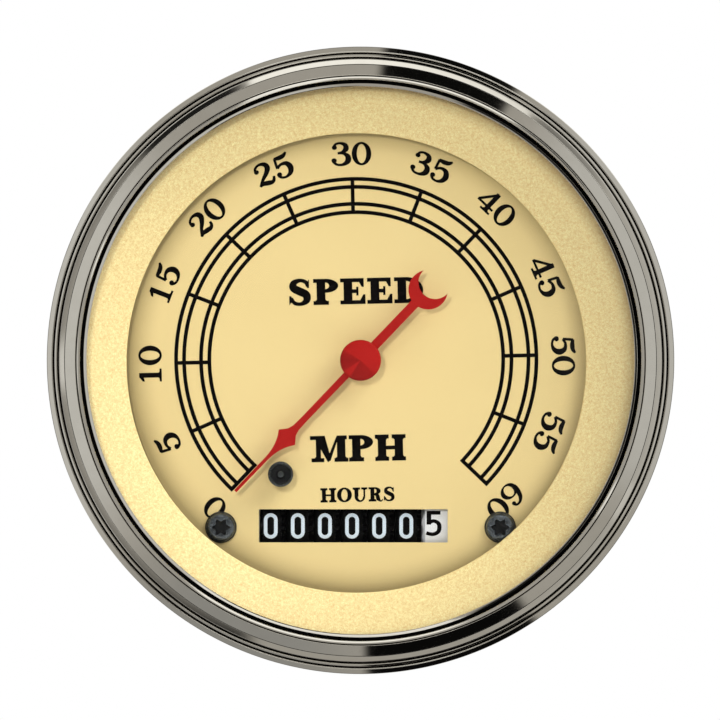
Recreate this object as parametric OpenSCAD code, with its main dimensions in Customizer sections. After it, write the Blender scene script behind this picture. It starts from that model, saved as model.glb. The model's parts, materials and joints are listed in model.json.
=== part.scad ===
// Panel speedometer with a cable-driven magnetic movement and an electric hour counter.
// Millimetres. The dial faces -Y, +Z is up, and the origin is where the spindle axis
// crosses the panel plane, which is the rear face of the bezel's rolled lip.

/* [Case] */
// Outside radius of the case barrel, which passes through the panel hole
case_r = 42.25; // [41:0.25:43.25]
// Depth from the panel plane to the outside of the rear wall
case_depth = 46; // [44:0.5:56]
// Wall of the drawn case barrel
case_wall = 0.8; // [0.6:0.1:1.2]
// Thickness of the rear wall
rear_wall = 1.0; // [0.8:0.1:1.6]
// Thickness of the case flange that the bezel clamps
flange_t = 1.0; // [0.8:0.1:1.4]

/* [Bezel] */
// How far the bezel reaches out past the case barrel, over the panel
bezel_overhang = 4.75; // [4.25:0.25:6.75]
// Width of the bezel's face, from its outer edge to its opening over the lens
bezel_face_w = 6; // [5.5:0.1:7]
// Thickness of the bezel's side wall, its rolled bead and groove included
bezel_wall = 2.2; // [2.1:0.05:2.6]
// Thickness of the lip rolled in behind the case flange
lip_t = 0.8; // [0.6:0.1:1.2]
// Height of the bezel's crest in front of the lens
crest_h = 3.2; // [2.6:0.1:4.2]
// Radius of the outer bead
outer_bead_r = 0.5; // [0.4:0.05:0.6]
// Radius of the second bead
second_bead_r = 0.42; // [0.35:0.01:0.5]
// Width of the groove between the two beads
bead_groove_w = 0.6; // [0.4:0.05:0.8]
// Radius of the crest bead
crest_bead_r = 0.22; // [0.15:0.01:0.3]
// Width of the steep wall inside the crest
inner_wall_w = 0.9; // [0.7:0.05:1.1]
// Width of the thin rim that lies on the lens
rim_w = 0.4; // [0.3:0.05:0.5]

/* [Lens and trim ring] */
// Thickness of the lens glass
lens_t = 2.0; // [1.6:0.1:3]
// Thickness of the rubber gasket behind the lens
gasket_t = 0.8; // [0.6:0.1:1.2]
// Width of the gasket
gasket_w = 3.6; // [2.5:0.1:4]
// Sheet thickness of the trim ring
trim_t = 0.8; // [0.6:0.1:1.2]
// Width of the trim ring inside the bezel's opening
trim_w = 6.5; // [5.5:0.25:8]
// How far the trim ring slopes back from its flange to its inner edge
trim_drop = 2.4; // [1.8:0.1:3]

/* [Dial] */
// Thickness of the dial sheet
dial_t = 0.8; // [0.6:0.1:1.2]
// How far the dial reaches past the trim ring's inner edge
dial_overlap = 2.0; // [1.5:0.1:2.5]
// Distance of each dial screw from the centre line
screw_x = 21; // [20:0.25:22]
// Distance of each dial screw's middle inside the trim ring's inner edge
screw_inset = 1.77; // [1.5:0.01:2.5]
// Radius of a dial screw's head
screw_head_r = 2.37; // [2:0.01:2.7]
// Thickness of a dial screw's head
screw_head_t = 1.3; // [1:0.1:1.6]
// Radius of a dial screw's shank
screw_r = 1.5; // [1.2:0.05:1.75]
// Radius of the pointer's stop pin
stop_r = 1.9; // [1.5:0.05:2]
// Height of the stop pin above the counter's middle
stop_rise = 7.8; // [7.3:0.1:8]
// Distance of the stop pin's edge from the middle line of the pointer at rest
stop_gap = 1.256; // [1.1:0.002:1.8]

/* [Pointer] */
// Gap between the pointer's tip and the trim ring's inner edge
tip_gap = 7.3; // [6.5:0.1:9.5]
// Width of the pointer's blade
blade_w = 0.96; // [0.8:0.02:1.2]
// Distance along the pointer from the spade's corners out to the stop pin
spade_to_stop = 4.65; // [4:0.05:5.5]
// Width across the spade's corners
spade_w = 3.3; // [2.6:0.1:3.6]
// Width of the pointer at its tip
tip_w = 0.52; // [0.4:0.02:0.6]
// Width of the pointer's tail
tail_w = 1.36; // [1:0.02:1.6]
// Distance from the spindle axis to the centre of the tail's crescent
crescent_at = 14.68; // [13.5:0.02:15.2]
// Outside radius of the crescent
crescent_r = 2.97; // [2.6:0.01:3.2]
// Radius of the hub disc
hub_r = 3.08; // [2.8:0.02:3.6]
// Sheet thickness of the pointer
pointer_t = 0.6; // [0.4:0.05:0.8]
// Thickness of the hub cap in front of the blade
cap_t = 1.0; // [0.8:0.1:1.4]
// Gap between the dial's face and the back of the blade
pointer_gap = 2.6; // [2.2:0.1:2.8]
// Angle of the pointer at rest, counterclockwise from the right
rest_angle = 226.25; // [224.5:0.25:228]

/* [Speed movement] */
// Radius of the pointer staff
staff_r = 0.8; // [0.6:0.05:1]
// Outside radius of the magnet
magnet_r = 12.8; // [11.5:0.1:13.5]
// Length of the magnet
magnet_t = 7.8; // [6:0.1:9]
// Air gap between the magnet and the speed cup
cup_gap = 0.8; // [0.5:0.1:1]
// Wall of the speed cup
cup_wall = 0.8; // [0.6:0.1:1]
// Air gap between the speed cup and the field ring
field_gap = 1.2; // [0.8:0.1:1.5]
// Wall of the field ring
field_wall = 2.0; // [1.5:0.1:2.4]
// Radius of the drive spindle
spindle_r = 3.2; // [3:0.1:3.6]
// Width of the square socket in the drive spindle
socket_w = 2.7; // [2.4:0.1:3]
// Wall of the spindle bush
bush_wall = 1.2; // [1:0.1:1.3]
// Thickness of the movement base
base_t = 3; // [2.5:0.1:3.5]
// Height of the base's bosses that stand on the rear wall
boss_h = 6; // [5:0.1:7]
// Thickness of the front plate behind the dial
front_plate_t = 1.5; // [1.2:0.1:2]
// Distance of each pillar from the centre line
pillar_x = 23; // [22:0.25:25]
// Height of the upper pillars above the spindle axis
pillar_rise = 13; // [12:0.25:14]
// Drop of the lower pillars below the spindle axis
pillar_drop = 7; // [6.5:0.25:8]
// Radius of a pillar
pillar_r = 2.5; // [2:0.1:3]
// Number of turns in the hairspring
hairspring_turns = 4; // [3:1:5]
// Distance between the hairspring's turns
hairspring_pitch = 1.15; // [0.8:0.05:1.4]
// Thickness of the hairspring's strip
hairspring_t = 0.18; // [0.1:0.01:0.25]

/* [Hour counter] */
// Radius of a number drum
drum_r = 8; // [7.5:0.1:8.5]
// Distance from one drum to the next
drum_pitch = 4.08; // [3.9:0.02:4.3]
// Width of a drum's number rim
rim_drum_w = 2.86; // [2.7:0.02:2.9]
// Distance of the counter's middle from the centre line, to the left
window_shift = 1.1; // [0:0.1:2]
// Height of the counter's middle above the trim ring's lower edge
window_rise = 9.6; // [8.9:0.1:10.1]
// Height of the dial's counter window
window_h = 5; // [4.4:0.1:5.4]
// Radius of the counter shaft
counter_shaft_r = 1.5; // [1.2:0.05:1.8]
// Radius of the shaft that carries the transfer pinions
pinion_shaft_r = 0.9; // [0.7:0.05:1]
// Sheet thickness of the counter frame
frame_t = 1.0; // [0.8:0.1:1.4]

/* [Counter drive] */
// Radius of the gear motor's can
motor_r = 7; // [6:0.1:7.5]
// Length of the gear motor's can
motor_len = 23; // [18:0.5:25]
// Tooth module of the drive gears
train_module = 0.5; // [0.46:0.01:0.52]
// Face width of the drive gears
train_w = 1.2; // [1:0.1:1.6]

/* [Rear fittings] */
// Outside radius of the cable nose
nose_r = 7.9; // [7.5:0.1:8.5]
// How far the cable nose stands out of the rear wall
nose_len = 14; // [12:0.5:18]
// Radius of the bore that takes the cable's ferrule
cable_bore_r = 4.8; // [4.6:0.1:5.2]
// Depth of the bore that takes the cable's ferrule
cable_bore_len = 8; // [6:0.5:9]
// Distance of each mounting stud from the centre line
stud_x = 30; // [28:0.5:32]
// Radius of a mounting stud
stud_r = 2.4; // [2:0.05:2.6]
// Free length of a mounting stud behind its collar
stud_len = 18; // [14:0.5:25]
// Radius of a lamp socket's body
lamp_r = 6; // [5:0.1:6.5]
// Width of a terminal blade
blade_terminal_w = 4.8; // [4:0.1:5.4]
// Distance of each terminal blade from the centre line
terminal_x = 4.5; // [4.2:0.1:5.5]
// Drop of the terminal blades below the spindle axis
terminal_drop = 29; // [27:0.25:31]

/* [Clearances] */
// Radial clearance of a piece that turns on or in another
run_clear = 0.05; // [0.02:0.01:0.09]
// Radial clearance of a piece that is seated in another
seat_clear = 0.02; // [0.01:0.01:0.04]
// Gap between moving pieces that pass each other
pass_gap = 0.4; // [0.3:0.05:0.5]

/* [Hidden] */
$fn = 96;

// Depths of the clamped stack, from the panel plane forward
y_flange = -lip_t - flange_t;
y_trim = y_flange - trim_t;
y_gasket = y_trim - gasket_t;
y_lens = y_gasket - lens_t;
y_crest = y_lens - crest_h;

// Radii of the clamped stack
bezel_r = case_r + bezel_overhang;
bezel_window_r = bezel_r - bezel_face_w;
trim_inner_r = bezel_window_r - trim_w;
case_in_r = case_r - case_wall;
cavity_r = bezel_r - bezel_wall;
stack_clear = 0.1;
stack_r = cavity_r - stack_clear;
lip_clear = 0.9;
lip_in_r = case_r + lip_clear;
trim_clear = 0.25;
trim_outer_r = case_in_r - trim_clear;

// Depths of the dial and the pointer
y_trim_edge = y_trim + trim_drop;
head_gap = 0.6;
y_dial = y_trim_edge + trim_t + head_gap + screw_head_t;
dial_r = trim_inner_r + dial_overlap;
screw_drop = sqrt(pow(trim_inner_r - screw_inset, 2) - pow(screw_x, 2));
window_drop = trim_inner_r - window_rise;
hole_clear = 0.1;
y_front_plate = y_dial + dial_t;
y_plate_rear = y_front_plate + front_plate_t;
front_plate_margin = 1.5;
front_plate_r = dial_r + front_plate_margin;
y_blade = y_dial - pointer_gap - pointer_t;
y_cap = y_blade - cap_t;

// Rear wall and movement base
y_rear_in = case_depth - rear_wall;
y_base_rear = y_rear_in - boss_h;
y_base = y_base_rear - base_t;

// Speed movement, from the inside out
cup_in_r = magnet_r + cup_gap;
cup_r = cup_in_r + cup_wall;
field_in_r = cup_r + field_gap;
field_r = field_in_r + field_wall;
base_margin = 0.9;
base_r = field_r + base_margin;
collar_t = 1.6;
collar_step = 1.8;
washer_t = 0.5;
bush_flange_t = 0.6;
axial_play = 0.1;
y_bush_flange = y_base - bush_flange_t;
y_washer = y_bush_flange - axial_play - washer_t;
y_collar = y_washer - axial_play - collar_t;
y_magnet = y_collar - magnet_t;
cup_face_gap = 1.4;
y_cup = y_magnet - cup_face_gap - cup_wall;
bridge_gap = 1.5;
y_bridge_rear = y_cup - bridge_gap;
bridge_t = 1.5;
y_bridge = y_bridge_rear - bridge_t;
post_r = 2.2;
post_gap = 0.7;
post_x = field_r + post_gap + post_r;
bridge_h = 8;
bridge_bush_r = 2.2;
regulator_t = 0.8;
y_regulator = y_bridge - axial_play - regulator_t;
hairspring_h = 1.2;
hairspring_gap = 1.0;
y_hairspring = y_regulator - hairspring_gap - hairspring_h;
collet_wall = 0.9;
collet_r = staff_r + collet_wall;
collet_clear = 0.03;
hairspring_in_r = collet_r + hairspring_t / 2 + collet_clear;
hairspring_out_r = hairspring_in_r + hairspring_turns * hairspring_pitch;
hairspring_stud_r = 0.5;
hairspring_end = 60;
pivot_depth = 4;
y_staff_end = y_magnet + pivot_depth;
bush_r = spindle_r + run_clear + bush_wall;
y_bore = case_depth + nose_len - cable_bore_len;
nose_step = 0.6;
nose_seat_r = nose_r + nose_step;
nose_stem_r = nose_r - 2 * nose_step;
nose_stem_len = boss_h - 2;
small_screw_r = 1.2;
small_screw_grip = 4;
small_screw_depth = small_screw_grip + 1;

// Places of the repeated fittings, as [x, z]
dial_screw_spots = [for (s = [-1, 1]) [s * screw_x, -screw_drop]];
stop_across = stop_r + stop_gap;
stop_at = (window_drop - stop_rise + stop_across * cos(rest_angle)) / -sin(rest_angle);
stop_spot = stop_at * [cos(rest_angle), sin(rest_angle)]
            + stop_across * [-sin(rest_angle), cos(rest_angle)];
spade_at = stop_at - spade_to_stop;
pointer_len = trim_inner_r - tip_gap;
pillar_spots = [for (s = [-1, 1]) for (z = [pillar_rise, -pillar_drop]) [s * pillar_x, z]];
post_spots = [for (s = [-1, 1]) [s * post_x, 0]];
base_screw_r = 1.5;
base_screw_grip = 4;
base_boss_r = 3;
nose_boss_r = nose_seat_r + 1.5;
base_screw_circle = nose_boss_r + base_boss_r + 2;
base_screw_spots = [for (a = [90, 210, 330]) base_screw_circle * [cos(a), sin(a)]];
lamp_wall = 0.8;
lamp_flange_w = 1.5;
lamp_flange_r = lamp_r + lamp_flange_w;
lamp_edge_gap = 1.2;
lamp_circle = case_in_r - lamp_flange_r - lamp_edge_gap;
lamp_spots = [for (a = [52, 128]) lamp_circle * [cos(a), sin(a)]];
stud_spots = [for (s = [-1, 1]) [s * stud_x, 0]];
stud_collar_r = 4.5;
stud_collar_t = 2;
stud_head_t = 1.4;
terminal_spots = [for (s = [-1, 1]) [s * terminal_x, -terminal_drop]];
terminal_t = 0.8;
terminal_tail = 2;
terminal_out = 9;
insulator_t = 2.5;
insulator_wall = 0.8;

// Hour counter. Places across the counter are [y, z].
drum_count = 7;
drum_teeth = 20;
pinion_teeth = 8;
gear_set_in = 0.3;
carry_module = (drum_r - gear_set_in) / (drum_teeth / 2 + 1);
carry_centres = carry_module * (drum_teeth + pinion_teeth) / 2 + 0.06;
pinion_tip_r = carry_module * (pinion_teeth / 2 + 0.8);
drum_at = [y_front_plate + pass_gap + drum_r, -window_drop];
pinion_angle = 75;
pinion_at = drum_at + carry_centres * [cos(pinion_angle), sin(pinion_angle)];
drum_gap_w = drum_pitch - rim_drum_w;
drum_gear_w = drum_gap_w / 2;
carry_disc_w = drum_gap_w / 2 - 0.12;
carry_disc_r = carry_centres - pinion_tip_r - 0.35;
pinion_w = drum_gap_w - 0.22;
pinion_hub_r = carry_centres - drum_r - 0.2;
pinion_hub_gap = 0.1;
window_w = drum_count * drum_pitch - 0.16;
drum_x = [for (k = [0 : drum_count - 1]) -window_shift + ((drum_count - 1) / 2 - k) * drum_pitch];
tenths_extra = 0.6;
drums_left = drum_x[drum_count - 1] - rim_drum_w / 2;
drums_right = drum_x[0] + rim_drum_w / 2 + tenths_extra;
frame_left = drums_left - pass_gap - frame_t;
frame_right = drums_right + pass_gap;
foot_h = 8;
foot_reach = screw_head_r + 2.5;
frame_low = drum_at[1] - drum_r - 0.8 - frame_t;
frame_top = pinion_at[1] + pinion_shaft_r + 1.6;
frame_rear = drum_at[0] + drum_r + 1;

// Counter drive. The three gears lie in one plane outside the right side of the frame.
counter_teeth = 20;
idler_teeth = 24;
motor_teeth = 10;
mesh_slack = 0.05;
train_x = frame_right + frame_t + pass_gap;
arbor_r = 1.2;
motor_shaft_r = 1.0;
motor_screw_r = 0.8;
motor_screw_at = 5;
motor_screw_grip = 3.5;
motor_left = frame_right - motor_len;
motor_bearing_len = 5;
lead_r = 0.6;

// The motor hangs midway between the movement base and the case barrel under the frame
motor_lobe_r = motor_r + 1;
case_floor = sqrt(pow(case_in_r, 2) - pow(frame_right + frame_t, 2));
motor_drop = (base_r + motor_r + case_floor - motor_lobe_r) / 2;
idler_centres = train_module * (counter_teeth + idler_teeth) / 2 + mesh_slack;
motor_centres = train_module * (idler_teeth + motor_teeth) / 2 + mesh_slack;
train_angle = asin((window_drop - motor_drop) / (idler_centres + motor_centres));
train_dir = [cos(train_angle), sin(train_angle)];
idler_at = drum_at + idler_centres * train_dir;
motor_at = idler_at + motor_centres * train_dir;
motor_screw_spots = [for (s = [-1, 1]) motor_at + s * motor_screw_at * [-train_dir[1], train_dir[0]]];

// Phase of the second gear when its neighbour's tooth phase and the line of centres are known
function mesh_phase(line, phase, teeth, next_teeth) =
    line + 180 - 180 / next_teeth + (line - phase) * teeth / next_teeth;

carry_phase = mesh_phase(pinion_angle, pinion_angle, drum_teeth, pinion_teeth);
idler_phase = mesh_phase(train_angle, train_angle, counter_teeth, idler_teeth);
motor_phase = mesh_phase(train_angle, idler_phase, idler_teeth, motor_teeth);

// Points of an arc about a centre, from one angle to another
function arc(centre, r, from, to, steps) =
    [for (i = [0 : steps]) centre + r * [cos(from + (to - from) * i / steps),
                                         sin(from + (to - from) * i / steps)]];

// Body of revolution about the spindle axis, from [radius, depth] points
module lathe(points) {
    rotate([-90, 0, 0])
        rotate_extrude()
            polygon(points);
}

// Round disc about a place [x, z], from one depth over a thickness
module disc(r, y, t, at = [0, 0]) {
    translate([at[0], y, at[1]])
        rotate([-90, 0, 0])
            cylinder(r = r, h = t);
}

// Round tube about a place [x, z]
module tube(r, in_r, y, t, at = [0, 0]) {
    difference() {
        disc(r, y, t, at);
        disc(in_r, y - 1, t + 2, at);
    }
}

// Flat plate drawn as the dial is seen, from one depth over a thickness
module plate(y, t) {
    translate([0, y + t, 0])
        rotate([90, 0, 0])
            linear_extrude(t)
                children();
}

// Plate drawn in [y, z] and extruded along X
module side_plate(x, t) {
    translate([x, 0, 0])
        rotate([90, 0, 90])
            linear_extrude(t)
                children();
}

// Round rod along X about a place [y, z]
module rod(at, x, len, r) {
    translate([x, at[0], at[1]])
        rotate([0, 90, 0])
            cylinder(r = r, h = len);
}

// Outline of a spur gear with involute flanks, tooth 0 at the given phase
module gear_outline(teeth, mod, phase, addendum = 0.8, slack = 0.1) {
    pitch_r = mod * teeth / 2;
    base_circle_r = pitch_r * cos(20);
    tip_r = pitch_r + addendum * mod;
    root_r = pitch_r - 1.15 * mod;
    flank = [for (f = [0, 0.3, 0.65, 1]) max(base_circle_r, root_r) * (1 - f) + tip_r * f];
    half = [for (r = flank) 90 / teeth * (1 - slack) + involute(pitch_r, base_circle_r)
                            - involute(r, base_circle_r)];
    root_half = half[0];
    polygon([for (i = [0 : teeth - 1]) each let (a = phase + i * 360 / teeth) concat(
        [root_r * [cos(a - root_half), sin(a - root_half)]],
        [for (k = [0 : 3]) flank[k] * [cos(a - half[k]), sin(a - half[k])]],
        [for (k = [3 : -1 : 0]) flank[k] * [cos(a + half[k]), sin(a + half[k])]],
        [root_r * [cos(a + root_half), sin(a + root_half)]])]);
}

// Involute angle at a radius, in degrees
function involute(r, base_circle_r) =
    let (a = acos(min(1, base_circle_r / r))) tan(a) * 180 / PI - a;

// Outline of the bezel's front, from the outer wall in to the lens, as [radius, depth]
bead_1 = [bezel_r - outer_bead_r, y_crest + 3.7 + outer_bead_r];
groove_in_r = bead_1[0] - outer_bead_r - bead_groove_w;
y_groove = bead_1[1] + 0.2;
bead_2 = [groove_in_r - second_bead_r, y_crest + 2.2 + second_bead_r];
band_out_r = bead_2[0] - second_bead_r;
wall_foot_r = bezel_window_r + rim_w;
crest_at = [wall_foot_r + inner_wall_w + crest_bead_r, y_crest + crest_bead_r];
band_in_r = crest_at[0] + crest_bead_r + 0.35;
y_rim = y_lens - 0.5;
bezel_front_points = concat(
    [[bezel_r, bead_1[1]]],
    arc(bead_1, outer_bead_r, 0, -180, 8),
    [[bead_1[0] - outer_bead_r, y_groove], [groove_in_r, y_groove]],
    arc(bead_2, second_bead_r, 0, -150, 7),
    [[band_out_r, y_crest + 2.0], [band_out_r, y_crest + 1.4]],
    arc([band_out_r, y_crest + 1.4] + [-0.4, 0.4], 0.4 * sqrt(2), -45, -75, 3),
    [[band_in_r, y_crest + 0.55], [band_in_r - 0.1, y_crest + 0.75]],
    [[crest_at[0] + crest_bead_r, y_crest + 0.65]],
    arc(crest_at, crest_bead_r, 0, -180, 6),
    [[wall_foot_r, y_rim + 0.15], [wall_foot_r - 0.1, y_rim], [bezel_window_r, y_rim + 0.1]],
    [[bezel_window_r, y_lens]]);

module bezel() {
    color([0.78, 0.77, 0.74])
        difference() {
            lathe(concat(
                [[lip_in_r, y_lens], [lip_in_r, 0], [bezel_r - 0.3, 0], [bezel_r, -0.3]],
                bezel_front_points));
            lathe([[lip_in_r - 2, -lip_t], [cavity_r, -lip_t], [cavity_r, y_lens], [lip_in_r - 2, y_lens]]);
        }
}

module lens() {
    color([0.9, 0.95, 0.97, 0.35])
        disc(stack_r, y_lens, lens_t);
}

module lens_gasket() {
    color([0.06, 0.06, 0.06])
        tube(stack_r, stack_r - gasket_w, y_gasket, gasket_t);
}

module trim_ring() {
    color([0.93, 0.83, 0.58])
        lathe([
            [stack_r, y_trim], [trim_outer_r, y_trim], [trim_inner_r, y_trim_edge],
            [trim_inner_r, y_trim_edge + trim_t], [trim_outer_r, y_trim + trim_t],
            [stack_r, y_trim + trim_t]]);
}

module case() {
    corner_r = 2;
    color([0.13, 0.13, 0.14])
        difference() {
            union() {
                disc(stack_r, y_flange, flange_t);
                lathe(concat(
                    [[0, y_flange], [case_r, y_flange]],
                    arc([case_r - corner_r, case_depth - corner_r], corner_r, 0, 90, 6),
                    [[0, case_depth]]));
            }
            disc(case_in_r, y_flange - 1, y_rear_in - y_flange + 1);
            disc(nose_seat_r + hole_clear, y_rear_in - 1, rear_wall + 2);
            for (at = base_screw_spots)
                disc(base_screw_r + hole_clear, y_rear_in - 1, rear_wall + 2, at);
            for (at = lamp_spots)
                disc(lamp_r + hole_clear, y_rear_in - 1, rear_wall + 2, at);
            for (at = stud_spots)
                disc(stud_r + seat_clear, y_rear_in - 1, rear_wall + 2, at);
            for (at = terminal_spots)
                terminal_sleeve(y_rear_in - 1, rear_wall + 2, at, hole_clear);
        }
}

module dial() {
    color([0.95, 0.87, 0.64])
        plate(y_dial, dial_t)
            difference() {
                circle(r = dial_r);
                circle(r = bridge_bush_r + 0.3);
                window_outline(0);
                for (at = dial_screw_spots)
                    translate(at) circle(r = screw_r + hole_clear);
                translate(stop_spot) circle(r = stop_shank_r + seat_clear);
            }
}

// Opening for the counter, grown by a margin on every side
module window_outline(margin) {
    translate([-window_shift, -window_drop])
        square([window_w + 2 * margin, window_h + 2 * margin], center = true);
}

module dial_screws() {
    lobe_r = 0.42;
    lobe_at = 0.85;
    recess_depth = 0.8;
    color([0.1, 0.1, 0.11])
        for (at = dial_screw_spots)
            translate([at[0], 0, at[1]])
                difference() {
                    union() {
                        lathe(concat(
                            [[0, y_dial], [screw_head_r, y_dial], [screw_head_r, y_dial - screw_head_t / 2]],
                            arc([screw_head_r - screw_head_t / 2, y_dial - screw_head_t / 2],
                                screw_head_t / 2, 0, -90, 5),
                            [[0, y_dial - screw_head_t]]));
                        disc(screw_r, y_dial, dial_t + front_plate_t + frame_t + 1.5);
                    }
                    disc(lobe_at, y_dial - screw_head_t - 1, 1 + recess_depth);
                    for (a = [0 : 60 : 300])
                        disc(lobe_r, y_dial - screw_head_t - 1, 1 + recess_depth, lobe_at * [cos(a), sin(a)]);
                }
}

stop_shank_r = 1.2;
module stop_pin() {
    y_front = y_blade - 0.8;
    color([0.08, 0.08, 0.09])
        translate([stop_spot[0], 0, stop_spot[1]])
            lathe(concat(
                [[0, y_plate_rear + 1], [stop_shank_r, y_plate_rear + 1], [stop_shank_r, y_dial],
                 [stop_r, y_dial], [stop_r, y_front + 0.4]],
                arc([stop_r - 0.4, y_front + 0.4], 0.4, 0, -90, 4),
                [[stop_r * 0.5, y_front], [stop_r * 0.45, y_front + 0.25]],
                [[stop_r * 0.3, y_front + 0.1], [0, y_front]]));
}

// Half-width of the pointer between the spade's corners and its tip
function flank_w(r) =
    let (t = min(1, (r - spade_at) / 5)) tip_w / 2 + 0.04 * (1 - t) + (spade_w - tip_w) / 2 * pow(1 - t, 2.7);

module pointer_blade() {
    flank_r = [for (i = [0 : 9]) spade_at + i * 5 / 9];
    upper = concat(
        [[-crescent_at + crescent_r / 2, tail_w / 2], [-hub_r / 2, tail_w / 2]],
        [[hub_r / 2, blade_w / 2], [spade_at - 1.6, blade_w / 2 - 0.05]],
        [for (r = flank_r) [r, flank_w(r)]],
        [[pointer_len, tip_w / 2]]);
    plate(y_blade, pointer_t)
        polygon(concat(upper, [for (i = [len(upper) - 1 : -1 : 0]) [upper[i][0], -upper[i][1]]]));
}

module pointer() {
    crescent = [-crescent_at, 0];
    bite = [-crescent_at - crescent_r * 0.51, 0];
    color([0.67, 0.12, 0.1])
        rotate([0, -rest_angle, 0])
            difference() {
                union() {
                    pointer_blade();
                    difference() {
                        disc(crescent_r, y_blade, pointer_t, crescent);
                        disc(crescent_r * 0.84, y_blade - 1, pointer_t + 2, bite);
                    }
                    disc(hub_r - 0.1, y_blade, pointer_t);
                }
                disc(staff_r + seat_clear, y_blade - 1, pointer_t + 2);
            }
}

module pointer_cap() {
    edge = 0.3;
    color([0.67, 0.12, 0.1])
        lathe(concat(
            [[0, y_blade], [hub_r, y_blade], [hub_r, y_blade - edge]],
            arc([hub_r - cap_t + edge, y_blade - edge], cap_t - edge, 0, -90, 5),
            [[0, y_cap]]));
}

module pointer_staff() {
    shoulder_r = staff_r + 0.7;
    shoulder_len = 1.6;
    color([0.7, 0.7, 0.72]) {
        disc(staff_r, y_blade, y_staff_end - y_blade);
        tube(shoulder_r, staff_r / 2, y_blade + pointer_t, shoulder_len);
    }
}

module pointer_bush() {
    color([0.8, 0.65, 0.3])
        difference() {
            union() {
                disc(bridge_bush_r, y_front_plate - 0.3, front_plate_t + 0.3);
                disc(bridge_bush_r + 1.3, y_plate_rear, 1);
            }
            disc(staff_r + run_clear, y_front_plate - 1, front_plate_t + 3);
        }
}

module speed_cup() {
    hub_len = 2;
    color([0.75, 0.77, 0.78])
        difference() {
            union() {
                tube(cup_r, cup_in_r, y_cup, cup_wall + cup_face_gap + magnet_t);
                disc(cup_r, y_cup, cup_wall);
                disc(staff_r + 1.7, y_cup - 0.4, hub_len);
            }
            disc(staff_r + seat_clear, y_cup - 1, hub_len + 2);
        }
}

module hairspring_collet() {
    color([0.8, 0.65, 0.3])
        tube(collet_r, staff_r + seat_clear, y_hairspring - 0.4, hairspring_h + 0.8);
}

// Point on one side of the hairspring's strip after a part of a turn
function spiral_point(turn, side) =
    let (r = hairspring_in_r + hairspring_pitch * turn + side * hairspring_t / 2,
         a = hairspring_end + 360 * (turn - hairspring_turns))
    r * [cos(a), sin(a)];

module hairspring() {
    steps = hairspring_turns * 24;
    outer = [for (i = [0 : steps]) spiral_point(i / 24, 1)];
    inner = [for (i = [steps : -1 : 0]) spiral_point(i / 24, -1)];
    color([0.72, 0.6, 0.35])
        plate(y_hairspring, hairspring_h)
            polygon(concat(outer, inner));
}

module regulator_arm() {
    ring_r = bridge_bush_r + 1.8;
    stud_at = hairspring_out_r + hairspring_t / 2 + hairspring_stud_r + 0.05;
    arm_w = 2.2;
    color([0.8, 0.65, 0.3]) {
        plate(y_regulator, regulator_t)
            difference() {
                union() {
                    circle(r = ring_r);
                    rotate(hairspring_end)
                        translate([0, -arm_w / 2])
                            square([stud_at, arm_w]);
                    rotate(hairspring_end) translate([stud_at, 0]) circle(r = arm_w / 2);
                }
                circle(r = bridge_bush_r + seat_clear);
            }
        disc(hairspring_stud_r, y_hairspring - 0.3, y_regulator - y_hairspring + 0.5,
             stud_at * [cos(hairspring_end), sin(hairspring_end)]);
    }
}

module bridge() {
    color([0.72, 0.72, 0.7])
        plate(y_bridge, bridge_t)
            difference() {
                union() {
                    square([2 * post_x, bridge_h], center = true);
                    for (at = post_spots)
                        translate(at) circle(d = bridge_h);
                }
                circle(r = bridge_bush_r + seat_clear);
                for (at = post_spots)
                    translate(at) circle(r = small_screw_r + hole_clear);
            }
}

// Standing post with a spigot in the movement base and a screw hole in its front end
module post(at, r, y_front) {
    difference() {
        union() {
            disc(r, y_front, y_base - y_front, at);
            disc(small_screw_r, y_base - 1, base_t + 1, at);
        }
        disc(small_screw_r + seat_clear, y_front - 1, small_screw_depth + 1, at);
    }
}

module bridge_posts() {
    color([0.8, 0.65, 0.3])
        for (at = post_spots)
            post(at, post_r, y_bridge_rear);
}

module bridge_bush() {
    color([0.8, 0.65, 0.3])
        tube(bridge_bush_r, staff_r + run_clear, y_regulator - 0.1, y_bridge_rear + 0.4 - y_regulator);
}

// Cheese-head screw seated at one depth, its shank running to the rear
module cheese_screw(at, y, shank_r, shank_len) {
    head_r = shank_r * 1.8;
    head_t = shank_r * 1.1;
    slot_w = shank_r * 0.5;
    translate([at[0], 0, at[1]])
        difference() {
            union() {
                disc(head_r, y - head_t, head_t);
                disc(shank_r, y, shank_len);
            }
            translate([-head_r - 1, y - head_t - 1, -slot_w / 2])
                cube([2 * head_r + 2, 1 + head_t / 2, slot_w]);
        }
}

module bridge_screws() {
    color([0.6, 0.6, 0.62])
        for (at = post_spots)
            cheese_screw(at, y_bridge, small_screw_r, bridge_t + small_screw_grip);
}

module field_ring() {
    color([0.45, 0.45, 0.46])
        tube(field_r, field_in_r, y_cup, y_base - y_cup);
}

module magnet() {
    color([0.25, 0.25, 0.27])
        tube(magnet_r, spindle_r + seat_clear, y_magnet, magnet_t);
}

module drive_spindle() {
    y_end = y_bore - 0.3;
    socket_depth = 12;
    color([0.62, 0.62, 0.64])
        difference() {
            union() {
                disc(spindle_r, y_magnet, y_end - y_magnet);
                disc(spindle_r + collar_step, y_collar, collar_t);
            }
            disc(staff_r + run_clear, y_magnet - 1, pivot_depth + 1.5);
            translate([-socket_w / 2, y_end - socket_depth, -socket_w / 2])
                cube([socket_w, socket_depth + 1, socket_w]);
        }
}

module thrust_washer() {
    color([0.85, 0.82, 0.7])
        tube(spindle_r + collar_step, spindle_r + run_clear, y_washer, washer_t);
}

module spindle_bush() {
    color([0.72, 0.5, 0.28])
        difference() {
            union() {
                disc(bush_r + 1.4, y_bush_flange, bush_flange_t);
                disc(bush_r, y_base, y_bore - 0.5 - y_base);
            }
            disc(spindle_r + run_clear, y_bush_flange - 1, y_bore - y_bush_flange + 2);
        }
}

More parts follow.
